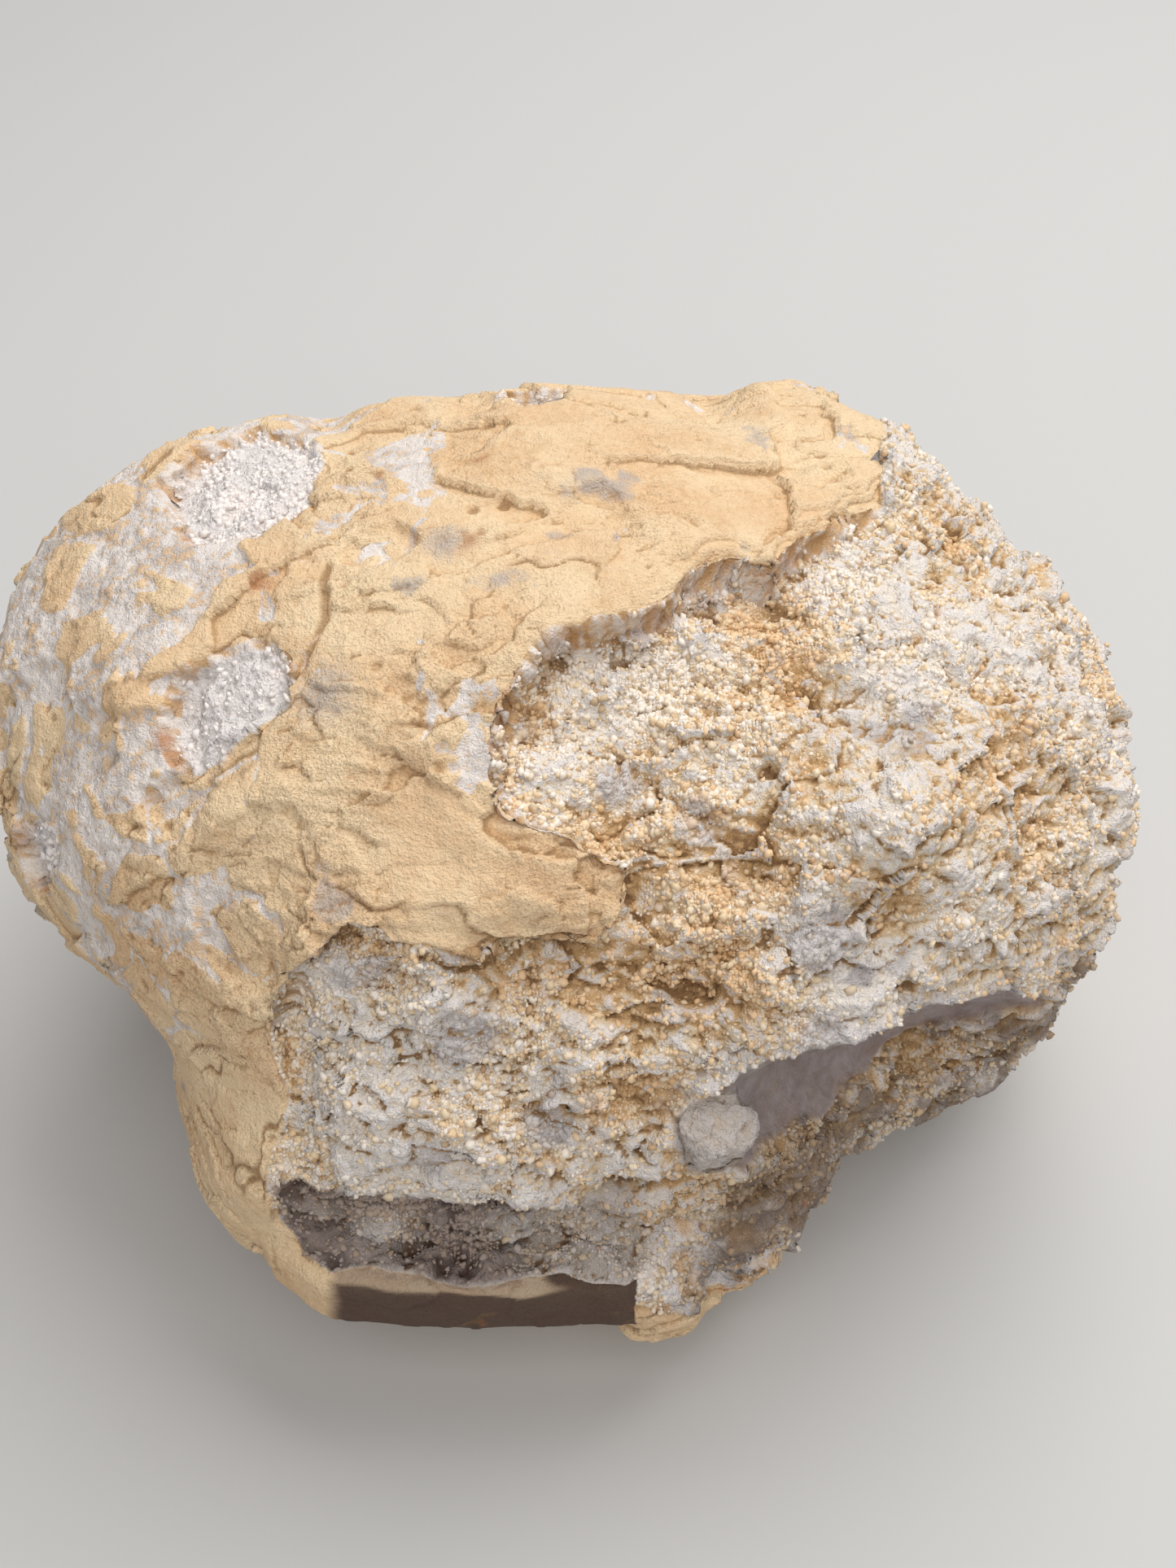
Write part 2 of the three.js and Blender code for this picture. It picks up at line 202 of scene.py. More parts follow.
class Noise:
    """Repeatable noise in space, worked out for many points at once from scrambled whole numbers.

    FACTORS spread the three axes and the seed, and STIRS holds the shift and factor of each scrambling round.
    """

    FACTORS = tuple(map(np.uint32, (374761393, 668265263, 2147483647, 974634777)))
    STIRS = ((np.uint32(13), np.uint32(1274126177)), (np.uint32(16), np.uint32(2246822519)))
    WORD = 2**32
    LOW_BITS = 2**10 - 1

    @classmethod
    def scramble(cls, key: Array) -> Array:
        """Scrambles whole numbers so that neighbours have nothing in common."""
        for shift, factor in cls.STIRS:
            key = (key ^ (key >> shift)) * factor
        return key ^ (key >> np.uint32(15))

    @classmethod
    def chance(cls, x: int, y: int, z: int, seed: int) -> float:
        """Number between 0 and 1 for one whole-numbered grid point."""
        key = np.array([x, y, z, seed], dtype=np.int64).astype(np.uint32) * np.array(cls.FACTORS)
        return float(cls.scramble(key[0:1] ^ key[1:2] ^ key[2:3] ^ key[3:4])[0]) / cls.WORD

    @classmethod
    def grid(cls, points: Array, size: float, seed: int) -> tuple[list, Array, np.uint32]:
        """Cell of each point.

        Args:
            points: places, one row each.
            size: width of a cell.
            seed: which noise it is.

        Returns:
            The cell's number along each axis, the place inside it from 0 to 1, and the seed's own key.
        """
        scaled = points / size
        base = np.floor(scaled)
        corner = base.astype(np.int64).astype(np.uint32)
        key = np.uint32((seed * int(cls.FACTORS[3])) % cls.WORD)
        return [corner[:, i] for i in range(3)], (scaled - base).astype(np.float32), key

    @classmethod
    def waves(cls, points: Array, size: float, seed: int) -> Array:
        """Smooth noise from -1 to 1 whose bumps are about one size apart."""
        corner, part, seed_key = cls.grid(points, size, seed)
        part = part * part * (3 - 2 * part)
        keys = [[corner[i] * cls.FACTORS[i], (corner[i] + np.uint32(1)) * cls.FACTORS[i]] for i in range(3)]
        shares = [[1 - part[:, i], part[:, i]] for i in range(3)]
        total = np.zeros(len(points), dtype=np.float32)
        for a, b, c in itertools.product((0, 1), repeat=3):
            value = cls.scramble(keys[0][a] ^ keys[1][b] ^ keys[2][c] ^ seed_key) / np.float32(cls.WORD)
            total += shares[0][a] * shares[1][b] * shares[2][c] * value
        return total * 2 - 1

    @classmethod
    def rough(cls, points: Array, size: float, seed: int, octaves: int = 3) -> Array:
        """Noise of several sizes, each half of the one before in size and strength."""
        total = np.zeros(len(points), dtype=np.float32)
        for k in range(octaves):
            total += cls.waves(points, size / 2**k, seed + 31 * k) / 2**k
        return total / (2 - 2 ** (1 - octaves))

    @classmethod
    def cells(cls, points: Array, size: float, seed: int) -> tuple[Array, ...]:
        """Distances to scattered cell middles.

        Args:
            points: places, one row each.
            size: mean distance between middles.
            seed: which scatter it is.

        Returns:
            Distance to the nearest middle and to the next, in sizes, the nearest one's number from 0 to 1,
            and the way to it, one row for each axis.
        """
        corner, part, seed_key = cls.grid(points, size, seed)
        first = np.full(len(points), 9.0, dtype=np.float32)
        second = first.copy()
        owner = np.zeros(len(points), dtype=np.uint32)
        way = np.zeros((3, len(points)), dtype=np.float32)
        for step in itertools.product((-1, 0, 1), repeat=3):
            shifted = [(corner[i] + np.uint32(step[i] % cls.WORD)) * cls.FACTORS[i] for i in range(3)]
            key = cls.scramble(shifted[0] ^ shifted[1] ^ shifted[2] ^ seed_key)
            there = np.empty_like(way)
            for i, shift in enumerate((0, 10, 20)):
                middle = ((key >> np.uint32(shift)) & np.uint32(cls.LOW_BITS)) / np.float32(cls.LOW_BITS)
                there[i] = middle + np.float32(step[i]) - part[:, i]
            gap = np.sum(there * there, axis=0)
            nearer = gap < first
            second = np.where(nearer, first, np.minimum(second, gap))
            owner = np.where(nearer, key, owner)
            way = np.where(nearer, there, way)
            first = np.where(nearer, gap, first)
        return np.sqrt(first), np.sqrt(second), (owner >> np.uint32(8)) / np.float32(2**24), way

    @classmethod
    def facets(cls, points: Array, size: float, seed: int) -> Array:
        """Flat facets that tilt all ways and break off at their borders, from about -1 to 1."""
        _, _, number, way = cls.cells(points, size, seed)
        height = number - 0.5
        for i, factor in enumerate((61.0, 163.0, 397.0)):
            height += 1.3 * way[i] * (2 * (number * factor % 1.0) - 1)
        return height

    @classmethod
    def lumps(cls, points: Array, size: float, seed: int) -> Array:
        """Rounded lumps: 1 on top of one, about 0 in the creases between them."""
        nearest = cls.cells(points, size, seed)[0]
        return 1 - np.minimum(nearest * nearest, 1)

    @classmethod
    def stray(cls, points: Array, size: float, amount: float, seed: int) -> Array:
        """The points, each moved by up to an amount in a direction that changes over one size."""
        moves = [cls.waves(points, size, seed + 7 * i) for i in range(3)]
        return points + amount * np.stack(moves, axis=1)


@dataclass(frozen=True)
class Break:
    """A flaked place: its outline is drawn across a bearing, from the heart, and has a strayed edge."""

    lon: float
    lat: float
    depth: float
    seed: int
    corners: tuple

    STEP = 5.0
    JITTER = 0.7
    NEAR = 9.0
    SLACK = 0.5

    def edge(self) -> Array:
        """Points of the strayed outline, in order."""
        points = []
        for i, corner in enumerate(self.corners):
            a = np.array(corner, dtype=float)
            b = np.array(self.corners[(i + 1) % len(self.corners)], dtype=float)
            count = max(1, math.floor(np.linalg.norm(b - a) / self.STEP + 0.5))
            for k in range(count):
                stray = [Noise.chance(i, k, n, self.seed) * 2 - 1 for n in (0, 1)]
                points.append(a + (b - a) * k / count + np.array(stray) * self.JITTER)
        return np.array(points)

    def depth_inside(self, points: Array) -> Array:
        """Distance from the outline's edge, measured in its plane.

        Args:
            points: places, one row each.

        Returns:
            Millimetres: more than 0 inside the flaked place, less outside, and -FAR well away from it.
        """
        outward = toward(self.lon, self.lat)
        right = np.array((-math.sin(self.lon * DEG), math.cos(self.lon * DEG), 0.0))
        up = np.cross(outward, right)
        away = points - HEART
        flat = np.stack((away @ right, away @ up), axis=1)
        outline = self.edge()
        close = away @ outward > self.depth - self.SLACK
        close &= np.all(flat > outline.min(axis=0) - self.NEAR, axis=1)
        close &= np.all(flat < outline.max(axis=0) + self.NEAR, axis=1)
        result = np.full(len(points), -FAR, dtype=np.float32)
        result[close] = self.to_outline(flat[close].astype(np.float32), outline.astype(np.float32))
        return result

    @staticmethod
    def to_outline(flat: Array, outline: Array) -> Array:
        """Signed distance from flat points to a closed outline, more than 0 inside."""
        nearest = np.full(len(flat), FAR * FAR, dtype=np.float32)
        inside = np.zeros(len(flat), dtype=bool)
        x, y = flat[:, 0], flat[:, 1]
        for a, b in zip(outline, np.roll(outline, -1, axis=0)):
            side = b - a
            t = np.clip(((x - a[0]) * side[0] + (y - a[1]) * side[1]) / (side @ side), 0, 1)
            gap = (x - a[0] - t * side[0]) ** 2 + (y - a[1] - t * side[1]) ** 2
            nearest = np.minimum(nearest, gap)
            if a[1] != b[1]:
                crossing = (a[1] > y) != (b[1] > y)
                inside ^= crossing & (x < side[0] * (y - a[1]) / side[1] + a[0])
        return np.where(inside, 1, -1) * np.sqrt(nearest)


@dataclass(frozen=True)
class Hollow:
    """An ellipsoid broken out of the stone, or one that a blunt block of it fills."""

    at: tuple
    half: tuple
    turn: float
    tip: float
    lean: float

    def axes(self) -> Array:
        """Directions of the half axes, one column each."""
        return turned(2, self.turn) @ turned(0, self.tip) @ turned(1, self.lean)

    def local(self, points: Array) -> Array:
        """Places counted from the middle, along the half axes."""
        return (points - SHIFT - np.array(self.at)) @ self.axes()

    def level(self, points: Array) -> Array:
        """Distance from the middle in half axes: 1 on the hollow's wall, less inside it."""
        return np.linalg.norm(self.local(points) / np.array(self.half), axis=1)

    def square(self, points: Array, share: Array, low: tuple, high: tuple) -> Array:
        """The points, moved by their share towards a box about the middle, which flattens its sides."""
        local = self.local(points)
        return points + share[:, None] * ((np.clip(local, low, high) - local) @ self.axes().T)

    def snap(self, points: Array, level: Array) -> Array:
        """The points, moved onto the hollow's wall; level is theirs."""
        middle = SHIFT + np.array(self.at)
        return middle + (points - middle) / level[:, None]


@dataclass(frozen=True)
class Spot:
    """A round stain, patch or swell, its middle counted from the origin of the part's source."""

    x: float
    y: float
    z: float
    radius: float
    strength: float = 1.0

    def at(self, points: Array) -> Array:
        """Its strength at each point, less away from its middle."""
        middle = np.array((self.x, self.y, self.z))
        gap = np.linalg.norm(points - SHIFT - middle, axis=1) / self.radius
        return self.strength * np.exp(-gap * gap)


SCARS = (
    Break(-90, 75, 0, 40, (  # upper scar
        (54, 46), (51, 37), (41, 23), (32, 15), (27, 9), (21, 10), (16, 7), (12, 0), (1, -3), (-3, -7),
        (-5, -12), (-8, -17), (-8, -23), (-5, -26), (1, -28), (5, -30), (9, -32), (8, -38), (8, -48),
        (30, -80), (105, -80), (105, 34), (84, 50), (66, 54))),
    Break(-90, 12, 0, 41, (  # front scar
        (9, 30), (8, 20), (4, 17), (-5, 17), (-12, 16), (-20, 18), (-24, 19), (-27, 16), (-32, 12),
        (-33, 9), (-34, 1), (-34, -9), (-37, -14), (-36, -24), (-8, -36), (8, -36), (26, -44), (62, -44),
        (95, -24), (95, 30), (40, 40))),
    Break(-5, 8, 48, 42, (  # east scar
        (-60, -34), (-20, -36), (4, -30), (15, -18), (26, -6), (26, 8), (38, 20), (42, 32), (50, 46),
        (-60, 50))),
)
WHITE_SCARS = (
    Break(-154, 41, 40, 43, (  # west window
        (-6, 4), (-4, 8), (2, 9), (6, 6), (5, 1), (7, -4), (5, -9), (0, -8), (-5, -6), (-7, -1))),
    Break(158, 44, 40, 44, (  # crown patch
        (-13, -3), (-10, 4), (-5, 9), (4, 10), (11, 7), (14, 0), (9, -5), (3, -9), (-6, -8))),
    Break(-162, 12, 40, 45, ((-5, -3), (-4, 4), (1, 6), (5, 3), (4, -4), (-1, -6))),  # west patch
    Break(97, 56, 40, 46, ((-5, -3), (-3, 3), (3, 4), (6, 0), (3, -4))),  # crest patch
)
HIDDEN_SCARS = (
    Break(112, -2, 35, 47, (  # back scar
        (-22, -8), (-20, 3), (-13, 9), (-5, 7), (3, 14), (12, 12), (19, 4), (24, -3), (17, -10), (8, -9),
        (0, -16), (-12, -14))),
    Break(48, -8, 35, 48, (  # north-east patch
        (-12, -4), (-9, 5), (-1, 9), (7, 6), (13, 8), (12, -3), (4, -9), (-5, -10))),
    Break(-176, -24, 25, 49, (  # underside scar
        (-14, -7), (-12, 4), (-4, 9), (6, 6), (13, 9), (15, -2), (7, -9), (-4, -8))),
)
CHIPS = (
    Break(-132, 33, 40, 80, (  # west step
        (-6, 3), (-1, 5), (4, 2), (8, -4), (9, -11), (5, -18), (-3, -17), (-8, -8))),
    Break(-147, 32, 40, 81, ((-5, -4), (-1, 5), (4, 1), (3, -6))),  # small west facet
    # top trench
    Break(-90, 80, 30, 82, ((-1, 12), (2, 17), (6, 19), (8, 13), (12, 8), (10, 4), (5, 7), (1, 9))),
    Break(-90, 80, 30, 83, ((-29, 6), (-27, 11), (-21, 12), (-17, 8), (-21, 5), (-25, 4))),  # top flake
    Break(-90, 80, 20, 84, (  # north-east step
        (27, 24), (25, 33), (31, 39), (28, 52), (60, 60), (68, 46), (50, 41), (43, 31), (34, 28))),
    Break(-168, 22, 40, 85, (  # west terrace
        (-14, -8), (-12, 4), (-6, 9), (1, 6), (5, 12), (12, 9), (9, -1), (14, -9), (3, -12), (-6, -13))),
    Break(80, 18, 30, 86, (  # back step
        (-26, -6), (-18, 6), (-7, 10), (6, 7), (18, 13), (24, 4), (15, -5), (4, -3), (-8, -9))),
    Break(-152, -20, 30, 87, ((-9, -5), (-7, 4), (0, 8), (8, 5), (10, -3), (2, -8))),  # west foot chip
)
RECESS = Hollow((-10, -75, 40), (36, 18, 9), 0, 6, 0)
FRACTURE = Hollow((67.5, -70, 45.4), (52, 41, 20), 2, -12, 18)
FRONT_BLOCK = Hollow((19, -58, 54), (5.5, 5, 5), 20, 25, 0)
BLOCK_SIDES = ((-4.3, -3.0, -1.4), (4.3, 5.0, 3.0))
SOUTH_CORNER = Hollow((12, -60.5, 22), (8, 7, 9), 15, 0, 0)
SILL = ((-39.0, 8.5), (-68.0, -52.0), (22.5, 33.0))
SHELF_FOOT = (
    (22, 46.5), (28, 43.5), (33, 40.6), (40, 38.8), (46, 40.4), (50, 41.8), (57, 42.6), (64, 44.0),
)
SILL_FRONT = ((-38, -60), (-30, -65.5), (-10, -67), (8, -66.5), (13, -60))
LIP_HEIGHT = 46.5
LONG_CRACK = ((-29.7, -3.6, 99), (-29.4, -12.8, 97.3), (-32, -18.9, 94.8), (-35.8, -19.9, 90.4))

RUST_SPOTS = (
    Spot(-11.1, 15.1, 101.9, 1.8), Spot(-3.5, 11.5, 102.5, 1.6), Spot(-12.4, -1.3, 101.6, 3.4, 0.8),
    Spot(-48.3, -22.6, 85.4, 2.4), Spot(-37.9, -5.6, 96.7, 2.2, 0.8), Spot(-31.5, -6.7, 98.1, 1.6, 0.8),
    Spot(-29.0, -25.7, 92.5, 2.6, 0.7), Spot(-23.9, 13.4, 100.6, 1.8, 0.9),
)
GREY_SPOTS = (
    Spot(-14.9, -1.9, 101.4, 4.0, 0.8), Spot(-28.7, -22.7, 94.2, 5.5, 0.8),
    Spot(-34.0, -20.5, 91.5, 4.0, 0.8), Spot(2.8, 9.9, 102.4, 3.0, 0.7), Spot(0.8, 7.2, 102.4, 3.0, 0.6),
)
GLASS_SPOTS = (
    Spot(18.3, -3.3, 94.8, 5.0, 1.2), Spot(25.7, -2.1, 93.9, 4.0, 0.8), Spot(-6.7, -25.5, 96.8, 3.0, 0.6),
    Spot(6.7, -30.0, 86.5, 4.0, 0.9), Spot(17.2, -36.1, 84.5, 4.0, 1.0), Spot(40.5, -23.1, 87.9, 6.0, 0.9),
    Spot(29.3, -53.1, 66.7, 5.0, 0.9), Spot(-12.5, -53.1, 67.6, 4.5, 1.0),
    Spot(-1.0, -58.4, 58.6, 4.0, 1.0), Spot(-16.5, -62.6, 54.7, 4.0, 1.1),
    Spot(29.5, -45.8, 76.7, 5.0, 0.9),
)
SWELLS = (
    Spot(38.7, -37.0, 84.8, 6.0, 3.4), Spot(40.5, -43.5, 76.0, 5.0, -2.0),
    Spot(27.6, -6.1, 91.8, 4.5, -1.8), Spot(29.1, -19.3, 91.2, 5.0, -2.2),
    Spot(30.0, -29.1, 88.3, 4.5, -1.8), Spot(42.0, -6.0, 91.0, 9.0, 1.6), Spot(45.0, -20.0, 87.5, 8.0, 1.4),
    Spot(58.0, -10.0, 84.0, 7.0, 1.2), Spot(-3.0, -24.5, 91.0, 4.0, -1.2),
    Spot(6.7, -35.6, 83.9, 4.5, -1.6), Spot(20.1, -39.0, 82.5, 5.0, -2.4),
    Spot(-6.6, -49.0, 74.6, 4.5, -1.8), Spot(1.0, -49.0, 73.0, 4.5, -2.2),
    Spot(10.0, -49.5, 72.0, 5.0, -2.6), Spot(18.0, -50.5, 72.0, 5.0, -2.6),
    Spot(29.5, -45.2, 77.4, 5.5, 1.6), Spot(36.7, -49.3, 68.9, 7.0, 1.6), Spot(52.0, -33.0, 74.0, 7.0, 1.4),
    Spot(-15.7, -51.4, 70.0, 5.0, 1.4), Spot(-25.6, -55.7, 58.1, 5.5, 1.6),
    Spot(0.9, -54.4, 64.6, 5.5, 1.4), Spot(8.7, -56.5, 59.2, 4.5, -1.6), Spot(-23.0, -60.0, 37.0, 3.2, 2.0),
    Spot(-6.5, -60.0, 37.0, 3.2, 2.2), Spot(-24.0, 0.4, 98.5, 3.2, 0.9),
)
# painted shade: more orange-brown in these dents of the bare stone, over its own orange-brown tone
HONEY_SHADE_SPOTS = (
    Spot(27.6, -6.1, 91.8, 5.0, 0.8), Spot(29.1, -17.0, 91.2, 5.0, 0.9), Spot(30.0, -29.1, 88.3, 6.0, 0.9),
    Spot(-4.0, -24.0, 92.0, 5.0, 0.9), Spot(3.0, -34.0, 84.5, 6.0, 0.8), Spot(20.1, -38.5, 82.8, 8.0, 1.0),
    Spot(40.1, -42.0, 79.0, 6.0, 1.0), Spot(-6.6, -49.0, 74.6, 5.0, 0.9), Spot(1.0, -49.0, 73.0, 6.0, 1.0),
    Spot(10.0, -49.5, 72.0, 7.0, 1.1), Spot(18.0, -50.5, 72.0, 7.0, 1.1), Spot(8.7, -56.5, 59.2, 7.0, 0.8),
    Spot(14.0, -60.4, 47.6, 8.0, 0.8), Spot(27.0, -55.6, 43.9, 8.0, 0.9), Spot(54.1, -23.4, 82.7, 9.0, 0.7),
    Spot(54.8, 13.8, 89.6, 9.0, 0.6),
)
# where the recess's painted shade is lifted off the lumps in it, which catch the light
RECESS_SPOTS = (
    Spot(-23.0, -60.0, 37.0, 4.2, 0.65), Spot(-6.5, -60.0, 37.0, 3.8, 0.65),
    Spot(-30.5, -57.0, 40.0, 3.0, 0.4),
)
# painted highlight: less orange-brown, so whiter, on these swells
PALE_HIGHLIGHT_SPOTS = (
    Spot(6.8, -17.0, 90.2, 9.0), Spot(38.3, -2.8, 91.8, 9.0, 0.9), Spot(-25.6, -55.7, 58.1, 6.0),
    Spot(-15.7, -51.4, 70.0, 6.0, 0.9), Spot(29.5, -45.2, 77.4, 7.0), Spot(36.7, -49.3, 68.9, 8.0, 0.9),
    Spot(61.0, -9.0, 82.0, 7.0, 0.7),
)
GULLY_SPOTS = (
    Spot(10.5, -49.3, 72.0, 5.0, 0.8), Spot(16.2, -51.3, 71.5, 6.0, 1.0), Spot(18.0, -48.2, 75.2, 5.0, 0.9),
    Spot(1.0, -50.9, 70.9, 4.0, 0.6), Spot(45.5, -30.5, 80.0, 5.0, 0.6),
)

# Bearings: direction, height angle, and the angles away where the share is 1 and 0, in degrees.
LEFT_EDGE = (-125, 2, 14, 28)
TONGUE = (-115, 35, 22, 50)
TONGUE_FOOT = (-88, 25, 15, 24)
LAYERED_EAST = (10, 55, 16, 34)
LAYERED_FRONT = (-110, 38, 18, 40)
MATRIX_GROUND = (
    (1.0, (-176, 36, 22, 52)), (0.5, (-150, 12, 8, 30)), (0.5, (165, 62, 8, 24)),
    (-1.0, (-135, 56, 12, 26)), (-1.0, (120, 78, 8, 20)),
)


def spotted(points: Array, spots: tuple) -> Array:
    """Strongest of several round spots at each point, from 0 to about 1."""
    result = np.zeros(len(points), dtype=np.float32)
    for spot in spots:
        result = np.maximum(result, spot.at(points))
    return result


def swelling(points: Array) -> Array:
    """Height of the broad round swells and dents at each point."""
    result = np.zeros(len(points), dtype=np.float32)
    for spot in SWELLS:
        result += spot.at(points)
    return result


def sill_share(points: Array) -> Array:
    """Share of the clay sill at each point, from 0 to 1."""
    share = np.ones(len(points), dtype=np.float32)
    for values, (low, high) in zip((points - SHIFT).T, SILL):
        share *= ease(low - 1.5, low - 0.5, values) * ease(high + 1.3, high + 0.3, values)
    return share


def deepest(points: Array, breaks: tuple) -> Array:
    """Largest distance inside any of several flaked places."""
    result = np.full(len(points), -FAR, dtype=np.float32)
    for place in breaks:
        result = np.maximum(result, place.depth_inside(points))
    return result


class Ops:
    """Short forms of the operators used to make and finish a piece."""

    @staticmethod
    def only(piece: bpy.types.Object) -> None:
        """Selects one object, and makes it the active one."""
        bpy.ops.object.select_all(action="DESELECT")
        piece.select_set(True)
        bpy.context.view_layer.objects.active = piece

    @classmethod
    def modify(cls, piece: bpy.types.Object, kind: str, **settings: object) -> None:
        """Adds a modifier and applies it.

        Args:
            piece: the object to change.
            kind: Blender's name for the modifier.
            settings: its values by name.
        """
        cls.only(piece)
        modifier = piece.modifiers.new(kind.title(), kind)
        for name, value in settings.items():
            setattr(modifier, name, value)
        bpy.ops.object.modifier_apply(modifier=modifier.name)

    @classmethod
    def copy_node(cls, name: str) -> bpy.types.Object:
        """Free copy of a CAD node, its loose triangles merged."""
        cls.only(frame["nodes"][name])
        bpy.ops.object.duplicate()
        piece = bpy.context.active_object
        bpy.ops.object.parent_clear(type="CLEAR_KEEP_TRANSFORM")
        bpy.ops.object.transform_apply(location=True, rotation=True, scale=True)
        bpy.ops.object.mode_set(mode="EDIT")
        bpy.ops.mesh.select_all(action="SELECT")
        bpy.ops.mesh.remove_doubles(threshold=1e-6)
        bpy.ops.object.mode_set(mode="OBJECT")
        return piece

    @staticmethod
    def add(name: str, data: bpy.types.ID) -> bpy.types.Object:
        """Adds an object to the scene."""
        piece = bpy.data.objects.new(name, data)
        bpy.context.collection.objects.link(piece)
        return piece

    @staticmethod
    def shade_smooth(mesh: bpy.types.Mesh) -> None:
        """Shades every face smooth."""
        mesh.polygons.foreach_set("use_smooth", np.ones(len(mesh.polygons), dtype=bool))

    @staticmethod
    def mark(mesh: bpy.types.Mesh, masks: dict) -> None:
        """Stores numbers by name, one a point each, for the material to read."""
        for name, values in masks.items():
            attribute = mesh.attributes.new(name, "FLOAT", "POINT")
            attribute.data.foreach_set("value", values.astype(np.float32))


@dataclass
class Surface:
    """The points of a mesh in millimetres, with their normals and neighbours."""

    piece: bpy.types.Object
    points: Array = field(init=False)
    edges: Array = field(init=False)
    links: Array = field(init=False)

    def __post_init__(self) -> None:
        """Reads the mesh."""
        mesh = self.piece.data
        points = np.empty(len(mesh.vertices) * 3)
        mesh.vertices.foreach_get("co", points)
        self.points = points.reshape(-1, 3) / MM
        edges = np.empty(len(mesh.edges) * 2, dtype=np.int32)
        mesh.edges.foreach_get("vertices", edges)
        self.edges = edges.reshape(-1, 2)
        self.links = np.bincount(self.edges.ravel(), minlength=len(self.points)).astype(float)

    def write(self) -> None:
        """Puts the points back into the mesh."""
        mesh = self.piece.data
        mesh.vertices.foreach_set("co", (self.points * MM).astype(np.float32).ravel())
        mesh.update()

    def normals(self) -> Array:
        """Unit normals of the mesh as it was last written."""
        normals = np.empty(len(self.points) * 3, dtype=np.float32)
        self.piece.data.vertex_normals.foreach_get("vector", normals)
        return normals.reshape(-1, 3)

    def mean(self, values: Array) -> Array:
        """Mean of each point's neighbours' values, for one column or several."""
        columns = values.reshape(len(values), -1)
        total = np.empty_like(columns)
        a, b = self.edges[:, 0], self.edges[:, 1]
        for i in range(columns.shape[1]):
            column = columns[:, i]
            total[:, i] = np.bincount(a, column[b], len(column)) + np.bincount(b, column[a], len(column))
        return (total / self.links[:, None]).reshape(values.shape)

    def relax(self, weight: Array, times: int) -> None:
        """Moves each point towards its neighbours' mean, by its weight, several times over."""
        for _ in range(times):
            self.points += weight[:, None] * (self.mean(self.points) - self.points)


